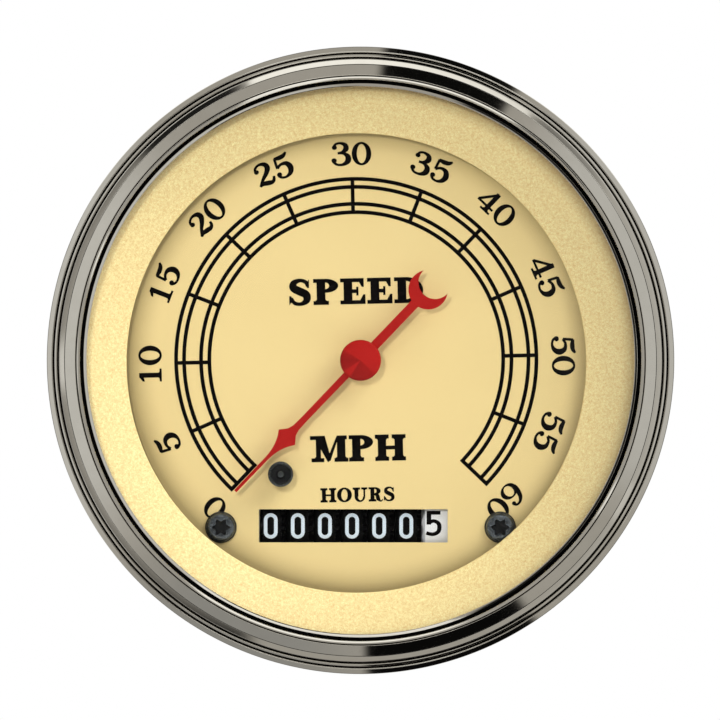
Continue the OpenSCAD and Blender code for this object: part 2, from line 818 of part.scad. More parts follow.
module movement_base() {
    wing_margin = pillar_r + 1.5;
    wing_w = 2 * (pillar_x + wing_margin);
    wing_top = pillar_rise + wing_margin;
    wing_low = -pillar_drop - wing_margin;
    color([0.66, 0.66, 0.67])
        difference() {
            union() {
                disc(base_r, y_base, base_t);
                plate(y_base, base_t)
                    translate([-wing_w / 2, wing_low])
                        square([wing_w, wing_top - wing_low]);
                disc(nose_boss_r, y_base_rear - 1, boss_h + 1);
                for (at = base_screw_spots)
                    disc(base_boss_r, y_base_rear - 1, boss_h + 1, at);
            }
            disc(bush_r + seat_clear, y_base - 1, y_bore - y_base + 1);
            disc(nose_stem_r + seat_clear, y_rear_in - nose_stem_len, nose_stem_len + 1);
            for (at = base_screw_spots)
                disc(base_screw_r + seat_clear, y_rear_in - base_screw_grip - 1, base_screw_grip + 2, at);
            for (at = pillar_spots)
                disc(small_screw_r + seat_clear, y_base - 1, base_t + 2, at);
            for (at = post_spots)
                disc(small_screw_r + seat_clear, y_base - 1, base_t + 2, at);
        }
}

// Turned nose pressed into the base, where the drive cable screws on behind the case
module drive_nose() {
    color([0.74, 0.72, 0.66])
        difference() {
            union() {
                disc(nose_stem_r, y_rear_in - nose_stem_len, nose_stem_len + 1);
                disc(nose_seat_r, y_rear_in, rear_wall);
                disc(nose_r, y_rear_in, rear_wall + nose_len);
            }
            disc(bush_r + seat_clear, y_rear_in - nose_stem_len - 1, y_bore - y_rear_in + nose_stem_len + 1);
            disc(cable_bore_r, y_bore, cable_bore_len + 1);
        }
}

countersink_r = small_screw_r * 1.9;
countersink_t = countersink_r - small_screw_r;
module front_plate() {
    reach = drum_at[0] - y_plate_rear;
    drum_chord = sqrt(max(0, pow(drum_r, 2) - pow(reach, 2)));
    cut_h = 2 * (max(drum_chord, window_h / 2) + 1);
    cut_left = drums_left - pass_gap;
    cut_right = drums_right + pass_gap;
    color([0.7, 0.7, 0.68])
        difference() {
            disc(front_plate_r, y_front_plate, front_plate_t);
            disc(bridge_bush_r + seat_clear, y_front_plate - 1, front_plate_t + 2);
            translate([cut_left, y_front_plate - 1, drum_at[1] - cut_h / 2])
                cube([cut_right - cut_left, front_plate_t + 2, cut_h]);
            for (at = dial_screw_spots)
                disc(screw_r + hole_clear, y_front_plate - 1, front_plate_t + 2, at);
            disc(stop_shank_r + seat_clear, y_front_plate - 1, front_plate_t + 2, stop_spot);
            for (at = pillar_spots)
                countersunk(at, seat_clear, y_plate_rear + 1);
        }
}

// Flat-headed screw let into the front plate, grown by a margin for its hole
module countersunk(at, margin, y_to) {
    translate([at[0], 0, at[1]])
        lathe([
            [0, y_front_plate], [countersink_r + margin, y_front_plate],
            [small_screw_r + margin, y_front_plate + countersink_t],
            [small_screw_r + margin, y_to], [0, y_to]]);
}

module pillars() {
    color([0.8, 0.65, 0.3])
        for (at = pillar_spots)
            post(at, pillar_r, y_plate_rear);
}

module pillar_screws() {
    color([0.6, 0.6, 0.62])
        for (at = pillar_spots)
            countersunk(at, 0, y_plate_rear + small_screw_grip);
}

module case_screws() {
    color([0.6, 0.6, 0.62])
        for (at = base_screw_spots)
            translate([0, 2 * case_depth, 0])
                mirror([0, 1, 0])
                    cheese_screw(at, case_depth, base_screw_r, rear_wall + base_screw_grip);
}

// Side of the counter frame behind the front plate, with its shaft holes
module frame_side_outline() {
    difference() {
        union() {
            translate([y_plate_rear, frame_low])
                square([frame_rear - y_plate_rear, frame_top - frame_low]);
            children();
        }
        translate(drum_at) circle(r = counter_shaft_r + run_clear);
        translate(pinion_at) circle(r = pinion_shaft_r + seat_clear);
    }
}

// Foot of the counter frame, clamped to the front plate by a dial screw
module frame_foot(from_x, to_x) {
    foot_low = -screw_drop - foot_h / 2;
    translate([min(from_x, to_x), y_plate_rear, foot_low])
        cube([abs(to_x - from_x), frame_t, foot_h]);
}

module counter_frame() {
    web_d = 8;
    gear_tip_r = train_module * (counter_teeth / 2 + 1);
    color([0.68, 0.68, 0.66])
        difference() {
            union() {
                side_plate(frame_left, frame_t)
                    frame_side_outline();
                side_plate(frame_right, frame_t)
                    frame_side_outline() {
                        translate(motor_at) circle(r = motor_lobe_r);
                        translate(drum_at)
                            rotate(train_angle)
                                translate([0, -motor_lobe_r])
                                    square([norm(motor_at - drum_at), 2 * motor_lobe_r]);
                    }
                translate([frame_left, drum_at[0] - web_d / 2, frame_low])
                    cube([frame_right + frame_t - frame_left, web_d, frame_t]);
                frame_foot(frame_left + frame_t, -screw_x - foot_reach);
                frame_foot(frame_right, screw_x + foot_reach);
            }
            for (at = dial_screw_spots)
                disc(screw_r + seat_clear, y_plate_rear - 1, frame_t + 2, at);
            rod(drum_at, train_x - pass_gap / 2, train_w + pass_gap, gear_tip_r + pass_gap / 2);
            rod(idler_at, frame_right - 1, frame_t + 2, arbor_r + seat_clear);
            rod(motor_at, frame_right - 1, frame_t + 2, motor_shaft_r + 0.5);
            for (at = motor_screw_spots)
                rod(at, frame_right - 1, frame_t + 2, motor_screw_r + hole_clear);
        }
}

module counter_shaft() {
    left = frame_left - 1.6;
    right = train_x + train_w + 0.4;
    color([0.62, 0.62, 0.64])
        rod(drum_at, left, right - left, counter_shaft_r);
}

module shaft_clip() {
    clip_t = 0.6;
    color([0.3, 0.3, 0.32])
        side_plate(frame_left - axial_play - clip_t, clip_t)
            translate(drum_at)
                difference() {
                    circle(r = counter_shaft_r + 1.2);
                    circle(r = counter_shaft_r + seat_clear);
                }
}

module counter_gear() {
    color([0.8, 0.65, 0.3])
        side_plate(train_x, train_w)
            translate(drum_at)
                difference() {
                    gear_outline(counter_teeth, train_module, train_angle);
                    circle(r = counter_shaft_r + seat_clear);
                }
}

// Number drum with its driven gear on the right and its carry disc on the left
module drum(k, colour) {
    bore_r = counter_shaft_r + (k == 0 ? seat_clear : run_clear);
    right_extra = k == 0 ? tenths_extra : 0;
    left = drum_x[k] - rim_drum_w / 2;
    right = drum_x[k] + rim_drum_w / 2;
    tooth_w = 1.0;
    color(colour)
        difference() {
            union() {
                rod(drum_at, left, rim_drum_w + right_extra, drum_r);
                if (k > 0)
                    side_plate(right - 0.2, drum_gear_w + 0.2)
                        translate(drum_at)
                            gear_outline(drum_teeth, carry_module, pinion_angle);
                if (k < drum_count - 1) {
                    rod(drum_at, left - carry_disc_w, carry_disc_w + 0.2, carry_disc_r - 0.7);
                    for (a = [-18, 18])
                        side_plate(left - carry_disc_w, carry_disc_w + 0.2)
                            translate(drum_at)
                                rotate(pinion_angle + a)
                                    translate([0, -tooth_w / 2])
                                        square([carry_disc_r, tooth_w]);
                }
            }
            rod(drum_at, left - 2, rim_drum_w + 4, bore_r);
        }
}

drum_black = [0.05, 0.05, 0.06];
module drum_tenths() { drum(0, [0.92, 0.92, 0.9]); }
module drum_units() { drum(1, drum_black); }
module drum_tens() { drum(2, drum_black); }
module drum_hundreds() { drum(3, drum_black); }
module drum_thousands() { drum(4, drum_black); }
module drum_ten_thousands() { drum(5, drum_black); }
module drum_hundred_thousands() { drum(6, drum_black); }

module pinion_shaft() {
    end = 0.6;
    color([0.62, 0.62, 0.64])
        rod(pinion_at, frame_left - end, frame_right + frame_t - frame_left + 2 * end, pinion_shaft_r);
}

// Transfer pinion between drum k - 1 and drum k
module transfer_pinion(k) {
    gap_mid = drum_x[k] + drum_pitch / 2;
    hub_w = drum_pitch - pinion_hub_gap;
    color([0.85, 0.85, 0.82])
        difference() {
            union() {
                side_plate(gap_mid - pinion_w / 2, pinion_w)
                    translate(pinion_at)
                        gear_outline(pinion_teeth, carry_module, carry_phase);
                rod(pinion_at, gap_mid - hub_w / 2, hub_w, pinion_hub_r);
            }
            rod(pinion_at, gap_mid - drum_pitch, 2 * drum_pitch, pinion_shaft_r + run_clear);
        }
}

module transfer_pinion_1() { transfer_pinion(1); }
module transfer_pinion_2() { transfer_pinion(2); }
module transfer_pinion_3() { transfer_pinion(3); }
module transfer_pinion_4() { transfer_pinion(4); }
module transfer_pinion_5() { transfer_pinion(5); }
module transfer_pinion_6() { transfer_pinion(6); }

module idler_gear() {
    color([0.8, 0.65, 0.3])
        side_plate(train_x, train_w)
            translate(idler_at)
                difference() {
                    gear_outline(idler_teeth, train_module, idler_phase);
                    circle(r = arbor_r + run_clear);
                }
}

module idler_arbor() {
    head_t = 0.6;
    color([0.62, 0.62, 0.64]) {
        rod(idler_at, frame_right, train_x + train_w + axial_play - frame_right, arbor_r);
        rod(idler_at, train_x + train_w + axial_play, head_t, arbor_r + 0.8);
        rod(idler_at, frame_right + frame_t, pass_gap - axial_play, arbor_r + 0.6);
    }
}

module motor_can() {
    end_r = 3;
    end_len = 1.5;
    color([0.55, 0.56, 0.58])
        difference() {
            union() {
                rod(motor_at, motor_left + end_len, motor_len - end_len, motor_r);
                rod(motor_at, motor_left, end_len + 1, end_r);
            }
            rod(motor_at, frame_right - motor_bearing_len - 0.5, motor_bearing_len + 1,
                motor_shaft_r + run_clear);
            for (at = motor_screw_spots)
                rod(at, frame_right - motor_screw_grip - 0.5, motor_screw_grip + 1,
                    motor_screw_r + seat_clear);
        }
}

module motor_pinion() {
    color([0.8, 0.65, 0.3]) {
        side_plate(train_x, train_w)
            translate(motor_at)
                gear_outline(motor_teeth, train_module, motor_phase);
        rod(motor_at, frame_right - motor_bearing_len, train_x + train_w - frame_right + motor_bearing_len,
            motor_shaft_r);
    }
}

module motor_screws() {
    head_r = motor_screw_r * 1.8;
    head_t = motor_screw_r * 1.1;
    color([0.6, 0.6, 0.62])
        for (at = motor_screw_spots) {
            rod(at, frame_right + frame_t, head_t, head_r);
            rod(at, frame_right - motor_screw_grip, motor_screw_grip + frame_t + head_t / 2, motor_screw_r);
        }
}

// Direction of a route at one of its points
function route_dir(p, i) =
    let (d = p[min(i + 1, len(p) - 1)] - p[max(i - 1, 0)]) d / norm(d);

// Round tube swept along a route of points
module swept_tube(p, r, sides = 8) {
    ring = [for (i = [0 : len(p) - 1])
        let (d = route_dir(p, i),
             side = cross(d, [0.2, 0.3, 0.93]),
             u = side / norm(side),
             v = cross(d, u))
        each [for (k = [0 : sides - 1]) p[i] + r * (cos(360 * k / sides) * u + sin(360 * k / sides) * v)]];
    last = (len(p) - 1) * sides;
    walls = [for (i = [0 : len(p) - 2]) for (k = [0 : sides - 1]) each
        let (a = i * sides + k, b = i * sides + (k + 1) % sides)
        [[a, b, b + sides], [a, b + sides, a + sides]]];
    cap_a = [for (k = [1 : sides - 2]) [0, k + 1, k]];
    cap_b = [for (k = [1 : sides - 2]) [last, last + k, last + k + 1]];
    polyhedron(points = ring, faces = concat(walls, cap_a, cap_b));
}

// Each lead leaves the motor's end, runs back along the rear wall and lies on its terminal's tail:
// the first under the left one, the second over the right one
module motor_leads() {
    bend = 0.8;
    out = 2.5;
    lead_gap = 0.05;
    apart = lead_r + 1;
    run_lift = 1.2;
    y_run = y_rear_in - terminal_tail / 2;
    color([0.6, 0.1, 0.1])
        for (s = [-1, 1]) {
            start = [motor_left, motor_at[0] + s * apart, motor_at[1]];
            side_x = motor_left - out - (s < 0 ? apart : 0);
            z_end = -terminal_drop + s * (terminal_t / 2 + lead_r + lead_gap);
            z_run = z_end + (s > 0 ? run_lift : 0);
            end = [s * terminal_x, y_run, z_end];
            run_end = end[0] - blade_terminal_w / 2;
            swept_tube([
                start, [side_x + bend, start[1], start[2]], [side_x, start[1] + bend, start[2]],
                [side_x, y_run - bend, z_run], [side_x + bend, y_run, z_run],
                [run_end - run_lift, y_run, z_run], [run_end, y_run, z_end], end], lead_r);
        }
}

module lamp_sockets() {
    y_front = y_base_rear + pass_gap;
    flange_len = 1.2;
    rear_step = 0.6;
    rear_len = 6;
    contact_r = 2.2;
    contact_len = rear_len + 3;
    color([0.14, 0.14, 0.15])
        for (at = lamp_spots)
            difference() {
                union() {
                    disc(lamp_r, y_front, case_depth - y_front, at);
                    disc(lamp_flange_r, case_depth, flange_len, at);
                    disc(lamp_r - rear_step, case_depth, rear_len, at);
                    disc(contact_r, case_depth, contact_len, at);
                }
                disc(lamp_r - lamp_wall, y_front - 1, case_depth - y_front, at);
            }
}

module lamp_bulbs() {
    base_len = boss_h;
    bulb_r = lamp_r - 2;
    base_bulb_r = lamp_r - lamp_wall - 2 * hole_clear;
    bulb_len = 8;
    y_bulb_base = y_rear_in - base_len;
    color([0.95, 0.95, 0.9])
        for (at = lamp_spots)
            translate([at[0], 0, at[1]])
                lathe(concat(
                    [[0, y_bulb_base + base_len], [base_bulb_r, y_bulb_base + base_len],
                     [base_bulb_r, y_bulb_base], [bulb_r, y_bulb_base]],
                    arc([0, y_bulb_base - bulb_len], bulb_r, 0, -90, 8)));
}

module mounting_studs() {
    color([0.75, 0.75, 0.72])
        for (at = stud_spots) {
            disc(stud_r, y_rear_in - 1, rear_wall + stud_collar_t + stud_len + 1, at);
            disc(stud_collar_r, y_rear_in - stud_head_t, stud_head_t, at);
            disc(stud_collar_r, case_depth, stud_collar_t, at);
        }
}

// Insulating sleeve of a terminal where it passes through the rear wall
module terminal_sleeve(y, t, at, margin) {
    w = blade_terminal_w + 2 * insulator_wall + 2 * margin;
    h = terminal_t + 2 * insulator_wall + 2 * margin;
    translate([at[0] - w / 2, y, at[1] - h / 2])
        cube([w, t, h]);
}

// Terminal blade, grown by a margin for its slot
module terminal_blade(at, y, len, margin) {
    w = blade_terminal_w + 2 * margin;
    h = terminal_t + 2 * margin;
    translate([at[0] - w / 2, y, at[1] - h / 2])
        cube([w, len, h]);
}

module terminal_insulator() {
    pad_margin = 2;
    pad_w = 2 * terminal_x + blade_terminal_w + 2 * pad_margin;
    pad_h = 8;
    color([0.35, 0.2, 0.1])
        difference() {
            union() {
                translate([-pad_w / 2, case_depth, -terminal_drop - pad_h / 2])
                    cube([pad_w, insulator_t, pad_h]);
                for (at = terminal_spots)
                    terminal_sleeve(y_rear_in, rear_wall + insulator_t / 2, at, 0);
            }
            for (at = terminal_spots)
                terminal_blade(at, y_rear_in - 1, rear_wall + insulator_t + 2, seat_clear);
        }
}

module terminal_blades() {
    color([0.85, 0.75, 0.45])
        for (at = terminal_spots)
            terminal_blade(at, y_rear_in - terminal_tail,
                           terminal_tail + rear_wall + insulator_t + terminal_out, 0);
}

case();
bezel();
lens();
lens_gasket();
trim_ring();
dial();
dial_screws();
stop_pin();
pointer();
pointer_cap();
pointer_staff();
pointer_bush();
speed_cup();
hairspring_collet();
hairspring();
regulator_arm();
bridge();
bridge_posts();
bridge_bush();
bridge_screws();
field_ring();
magnet();
drive_spindle();
spindle_bush();
thrust_washer();
movement_base();
drive_nose();
front_plate();
pillars();
pillar_screws();
case_screws();
counter_frame();
counter_shaft();
counter_gear();
shaft_clip();
drum_tenths();
drum_units();
drum_tens();
drum_hundreds();
drum_thousands();
drum_ten_thousands();
drum_hundred_thousands();
pinion_shaft();
transfer_pinion_1();
transfer_pinion_2();
transfer_pinion_3();
transfer_pinion_4();
transfer_pinion_5();
transfer_pinion_6();
idler_gear();
idler_arbor();
motor_can();
motor_pinion();
motor_screws();
motor_leads();
lamp_sockets();
lamp_bulbs();
mounting_studs();
terminal_insulator();
terminal_blades();
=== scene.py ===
# %% [markdown]
# # Dressing a panel speedometer
# The imported solids are the frame of this lesson: case, movement, counter and pointer are already in
# their places, in metres. Blender adds what solids lack: print, glass, plating, paint and threads.
# The frame comes first, and its box is kept.

# %% Load the frame
import json
import math

import bmesh
import bpy
import numpy as np
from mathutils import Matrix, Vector
from mathutils.geometry import delaunay_2d_cdt

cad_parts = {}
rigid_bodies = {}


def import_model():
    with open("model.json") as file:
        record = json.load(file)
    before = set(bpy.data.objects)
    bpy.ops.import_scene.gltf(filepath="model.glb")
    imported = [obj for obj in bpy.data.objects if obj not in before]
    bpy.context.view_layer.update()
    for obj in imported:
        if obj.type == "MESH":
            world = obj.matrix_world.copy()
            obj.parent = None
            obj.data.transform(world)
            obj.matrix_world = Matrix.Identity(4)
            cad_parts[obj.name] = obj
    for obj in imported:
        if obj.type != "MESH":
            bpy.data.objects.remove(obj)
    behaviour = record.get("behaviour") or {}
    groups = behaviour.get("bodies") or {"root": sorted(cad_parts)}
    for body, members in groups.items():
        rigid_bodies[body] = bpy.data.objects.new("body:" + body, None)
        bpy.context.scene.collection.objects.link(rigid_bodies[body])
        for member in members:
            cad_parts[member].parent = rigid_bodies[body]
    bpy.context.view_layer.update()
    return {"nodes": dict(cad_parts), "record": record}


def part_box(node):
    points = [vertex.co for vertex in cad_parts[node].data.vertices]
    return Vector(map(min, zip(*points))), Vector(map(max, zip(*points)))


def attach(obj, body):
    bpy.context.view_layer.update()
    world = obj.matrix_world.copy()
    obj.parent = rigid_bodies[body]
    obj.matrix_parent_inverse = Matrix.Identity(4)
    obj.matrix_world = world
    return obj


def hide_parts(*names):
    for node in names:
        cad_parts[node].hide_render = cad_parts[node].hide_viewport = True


for leftover in list(bpy.data.objects):
    bpy.data.objects.remove(leftover, do_unlink=True)
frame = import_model()
MM = 0.001

# %% [markdown]
# Every object made here goes straight into the scene, and some become plain meshes once their modifiers
# have done their work. A few helpers do that, join parts to one mesh, and give some faces of a piece a
# second finish.

# %% Helpers for objects
def add_object(name, data):
    """A new object in the scene, at the origin."""
    made = bpy.data.objects.new(name, data)
    bpy.context.scene.collection.objects.link(made)
    return made


def plain_mesh(piece):
    """A new mesh of an object as its modifiers leave it."""
    ready = piece.evaluated_get(bpy.context.evaluated_depsgraph_get())
    return bpy.data.meshes.new_from_object(ready)


def mesh_data(mesh, unit=1.0):
    """The points of a mesh, in some unit, and its faces."""
    return [tuple(v.co / unit) for v in mesh.vertices], [tuple(f.vertices) for f in mesh.polygons]


def joined(parts):
    """Several pairs of points and faces, or points and edges, as one pair."""
    points, faces = [], []
    for part_points, part_faces in parts:
        faces += [tuple(i + len(points) for i in face) for face in part_faces]
        points += part_points
    return points, faces


def second_finish(piece, finish_made, chosen):
    """Give a second finish to the faces whose middle (x, y, z), in millimetres, is chosen."""
    piece.data.materials.append(finish_made)
    for face in piece.data.polygons:
        middle = (face.center.x / MM, face.center.y / MM, face.center.z / MM)
        face.material_index = int(chosen(*middle))


print("object helpers ready")

# %% [markdown]
# The camera stands where the photographer stood: square to the dial and far away, with a long lens. A
# near camera would shrink the dial inside its bezel. The lens and the distance are chosen together so
# that the frame is 108 mm wide at the bezel.

# %% Camera
VIEW_DISTANCE, LENS, SENSOR_WIDTH = 1.5, 500, 36
aim = Vector((-0.08, -2.35, 0.05)) * MM
camera_data = bpy.data.cameras.new("camera")
camera_data.lens = LENS
camera_data.sensor_width = SENSOR_WIDTH
camera_data.clip_end = 20
camera = add_object("camera", camera_data)
camera.location = aim + VIEW_DISTANCE * Vector((0, -1, 0))
camera.rotation_euler = (aim - camera.location).to_track_quat("-Z", "Y").to_euler()
bpy.context.scene.camera = camera
print("frame width in mm:", SENSOR_WIDTH * VIEW_DISTANCE / LENS / MM)

# %% [markdown]
# Colours are easiest to pick as screen values from 0 to 255, but shaders work in linear light. One
# helper converts. A second one adds a node to a tree and fills its inputs, from a value or from
# another node's socket, which keeps every node tree below short.

# %% Helpers for colours and nodes
def tint(red, green, blue):
    """A screen colour as the linear colour that a shader takes."""
    return tuple(c / 12.92 if c <= 0.04045 else ((c + 0.055) / 1.055) ** 2.4
                 for c in (red / 255, green / 255, blue / 255)) + (1.0,)


def add_node(tree, kind, inputs=None, **settings):
    """A new node with its settings, and each input set to a value or linked to a socket."""
    made = tree.nodes.new(kind)
    for name, value in settings.items():
        setattr(made, name, value)
    for key, value in (inputs or {}).items():
        if isinstance(value, bpy.types.NodeSocket):
            tree.links.new(value, made.inputs[key])
        else:
            made.inputs[key].default_value = value
    return made


def maths(tree, operation, a, b=0.0, c=None):
    """The result socket of one Math node. It works in shader trees and geometry trees."""
    inputs = {0: a, 1: b} if c is None else {0: a, 1: b, 2: c}
    return add_node(tree, "ShaderNodeMath", inputs, operation=operation).outputs[0]


print("white is", tint(255, 255, 255))

# %% [markdown]
# A few nodes come up again and again: a Map Range, a noise, a mix of two colours, Object coordinates, and
# the distance from the spindle axis. Each gets a short helper. The last one lays a colour over the base
# colour that a finish already has.

# %% Helpers for common nodes
def map_range(tree, value, low, high, to_low=0.0, to_high=1.0, **settings):
    """The result socket of one Map Range node, which also holds its value inside the new range."""
    inputs = {0: value, 1: low, 2: high, 3: to_low, 4: to_high}
    return add_node(tree, "ShaderNodeMapRange", inputs, **settings).outputs[0]


def noise(tree, place, scale, detail):
    """The value socket of one Noise Texture node."""
    inputs = {"Vector": place, "Scale": scale, "Detail": detail}
    return add_node(tree, "ShaderNodeTexNoise", inputs).outputs[0]


def mix_colours(tree, part, a, b, blend="MIX"):
    """The colour socket of one Mix node."""
    inputs = {0: part, 6: a, 7: b}
    return add_node(tree, "ShaderNodeMix", inputs, data_type="RGBA", blend_type=blend).outputs[2]


def object_place(tree):
    """Object coordinates, which stay on a piece when it moves."""
    return add_node(tree, "ShaderNodeTexCoord").outputs["Object"]


def axes_of(tree, vector):
    """The x, y and z sockets of a vector."""
    return add_node(tree, "ShaderNodeSeparateXYZ", {0: vector}).outputs


def off_axis(tree, vector):
    """How far a place is from the Y axis."""
    x, _, z = axes_of(tree, vector)
    square = maths(tree, "ADD", maths(tree, "MULTIPLY", x, x), maths(tree, "MULTIPLY", z, z))
    return maths(tree, "SQRT", square)


def lay_over(material, part, colour, blend="MIX"):
    """Mix a colour over the base colour that a finish already has."""
    tree = material.node_tree
    base = tree.nodes["Principled BSDF"].inputs["Base Color"]
    tree.links.new(mix_colours(tree, part, base.links[0].from_socket, colour, blend), base)


print("node helpers ready")

# %% [markdown]
# Paint, plastic and cast metal are never one flat colour. Fine grain and broad patches make them look
# real, so many finishes share one node group. It takes a place and two scales, and gives a tone between
# 0 and 1 and a height for bump. The shader itself stays in each material.

# %% Shared group: fine grain
def new_group(name, sockets_in, sockets_out):
    """An empty shader group, the sockets its inputs give and the sockets its outputs take."""
    tree = bpy.data.node_groups.new(name, "ShaderNodeTree")
    for title, kind, value in sockets_in:
        socket = tree.interface.new_socket(name=title, in_out="INPUT", socket_type=kind)
        if value is not None:
            socket.default_value = value
    for title, kind in sockets_out:
        tree.interface.new_socket(name=title, in_out="OUTPUT", socket_type=kind)
    return tree, tree.nodes.new("NodeGroupInput").outputs, tree.nodes.new("NodeGroupOutput").inputs


FLOAT, VECTOR = "NodeSocketFloat", "NodeSocketVector"
fine_grain, given, result = new_group(
    "fine_grain",
    [("Place", VECTOR, None), ("Grain", FLOAT, 4000.0), ("Patch", FLOAT, 150.0), ("Amount", FLOAT, 0.5)],
    [("Tone", FLOAT), ("Height", FLOAT)])
grain = noise(fine_grain, given["Place"], given["Grain"], 3.0)
patch = noise(fine_grain, given["Place"], given["Patch"], 2.0)
grain_part = maths(fine_grain, "SUBTRACT", grain, 0.5)
patch_part = maths(fine_grain, "MULTIPLY", maths(fine_grain, "SUBTRACT", patch, 0.5), 0.6)
both = maths(fine_grain, "MULTIPLY", maths(fine_grain, "ADD", grain_part, patch_part), 2.4)
tone = add_node(fine_grain, "ShaderNodeMath",
                {0: both, 1: given["Amount"], 2: 0.5}, operation="MULTIPLY_ADD", use_clamp=True)
fine_grain.links.new(tone.outputs[0], result["Tone"])
fine_grain.links.new(grain, result["Height"])
print("group:", fine_grain.name, [s.name for s in fine_grain.interface.items_tree])

# %% [markdown]
# Polished and painted surfaces also carry the marks of handling: faint smudges and hair scratches that
# change the gloss more than the colour. Scratches are noise squeezed along one direction. This group
# gives one value, Haze, which each material maps to its own range of roughness.

# %% Shared group: handling marks
handling_marks, given, result = new_group(
    "handling_marks",
    [("Place", VECTOR, None), ("Scratch", FLOAT, 900.0), ("Smudge", FLOAT, 60.0)],
    [("Haze", FLOAT)])
squeezed = add_node(handling_marks, "ShaderNodeMapping",
                    {"Vector": given["Place"], "Rotation": (0.3, 0.9, 0.5), "Scale": (1, 0.06, 1)})
scratch = noise(handling_marks, squeezed.outputs[0], given["Scratch"], 4.0)
smudge = noise(handling_marks, given["Place"], given["Smudge"], 3.0)
lines = map_range(handling_marks, scratch, 0.56, 0.74, 0.0, 0.5)
cloud = map_range(handling_marks, smudge, 0.35, 0.7, 0.0, 0.5)
handling_marks.links.new(maths(handling_marks, "ADD", lines, cloud), result["Haze"])
print("group:", handling_marks.name)

# %% [markdown]
# One function makes most finishes from the two groups: a dark and a light tone mixed by the grain, a
# range of roughness spread by the handling marks, and a small bump. Patterns read Object coordinates,
# so they stay on a piece when it moves.

# %% A finish from dark and light tones
BUMP_DEPTH = 0.04 * MM


def finish(name, dark, light, rough, metal=0.0, grain=4000.0, patch=150.0, amount=0.5, bump=0.0,
           specular=0.5, scratch=900.0):
    """A finish between two screen colours and two values of roughness."""
    material = bpy.data.materials.new(name)
    material.use_nodes = True
    tree = material.node_tree
    shader = tree.nodes["Principled BSDF"].inputs
    place = object_place(tree)
    speckle = add_node(tree, "ShaderNodeGroup", node_tree=fine_grain, inputs={
        "Place": place, "Grain": grain, "Patch": patch, "Amount": amount}).outputs
    marks = add_node(tree, "ShaderNodeGroup", node_tree=handling_marks, inputs={
        "Place": place, "Scratch": scratch}).outputs
    tree.links.new(mix_colours(tree, speckle["Tone"], tint(*dark), tint(*light)), shader["Base Color"])
    tree.links.new(map_range(tree, marks["Haze"], 0.0, 1.0, *rough), shader["Roughness"])
    shader["Metallic"].default_value = metal
    shader["Specular IOR Level"].default_value = specular
    if bump:
        relief = add_node(tree, "ShaderNodeBump", {
            "Strength": bump, "Distance": BUMP_DEPTH, "Height": speckle["Height"]})
        tree.links.new(relief.outputs[0], shader["Normal"])
    return material


print("finish helper ready")

# %% [markdown]
# Paint, ink, plastic and rubber come from one table. A row has a dark tone, a light tone, a range of
# roughness, and what else differs from a plain finish.

# %% Painted and moulded finishes
PAINTS = {
    "trim_cream": ((224, 186, 118), (255, 246, 184), (0.5, 0.62),
                   {"grain": 7000, "patch": 2400, "amount": 0.66, "bump": 0.4}),
    "dial_cream": ((235, 211, 146), (243, 220, 156), (0.55, 0.65),
                   {"grain": 5200, "patch": 60, "amount": 0.55, "bump": 0.1}),
    "ink_black": ((6, 5, 5), (15, 13, 12), (0.55, 0.7), {"grain": 6000, "specular": 0.06}),
    "pointer_red": ((164, 17, 14), (176, 25, 21), (0.4, 0.52),
                    {"grain": 2500, "patch": 300, "amount": 0.6, "bump": 0.1, "specular": 0.2}),
    "hub_red": ((168, 19, 16), (180, 27, 23), (0.36, 0.48), {"grain": 2500, "patch": 300, "specular": 0.2}),
    "screw_black": ((62, 67, 71), (124, 132, 139), (0.22, 0.36),
                    {"metal": 0.8, "grain": 3200, "patch": 500, "amount": 0.8, "bump": 0.3}),
    "stop_black": ((44, 47, 48), (98, 103, 104), (0.22, 0.34),
                   {"metal": 0.75, "grain": 3600, "amount": 0.7, "bump": 0.2}),
    "case_black": ((21, 22, 24), (34, 35, 37), (0.2, 0.36), {"grain": 1100, "patch": 40, "bump": 0.2}),
    "gasket_rubber": ((16, 16, 16), (30, 29, 28), (0.7, 0.85), {"grain": 2400, "bump": 0.2}),
    "drum_black": ((5, 5, 6), (12, 12, 13), (0.42, 0.55), {"grain": 3000, "specular": 0.1}),
    "drum_white": ((232, 236, 240), (246, 249, 251), (0.4, 0.5), {"grain": 2600}),
    "figure_white": ((208, 226, 242), (226, 240, 250), (0.45, 0.55), {"grain": 5000}),
    "nylon": ((214, 208, 190), (230, 226, 212), (0.4, 0.52), {"grain": 1500, "amount": 0.4}),
    "phenolic": ((70, 38, 20), (104, 60, 32), (0.45, 0.6),
                 {"grain": 1300, "patch": 250, "amount": 0.9, "bump": 0.15}),
    "lamp_black": ((42, 34, 29), (62, 51, 44), (0.28, 0.42),
                   {"grain": 1600, "patch": 300, "amount": 0.7, "bump": 0.15}),
    "lead_red": ((138, 22, 20), (160, 34, 28), (0.42, 0.52), {"grain": 1800, "amount": 0.4}),
    "magnet_grey": ((48, 48, 50), (70, 70, 72), (0.5, 0.65), {"grain": 2200, "bump": 0.2}),
}
FINISHES = {name: finish(name, *tones, **rest) for name, (*tones, rest) in PAINTS.items()}
print("painted and moulded finishes:", len(FINISHES))

# %% [markdown]
# Bare metals use the same function with Metallic at 1. Their colour is the colour of their reflection,
# and the handling marks do most of the work: turned brass, zinc plate and steel differ little in gloss
# but a lot in tint.

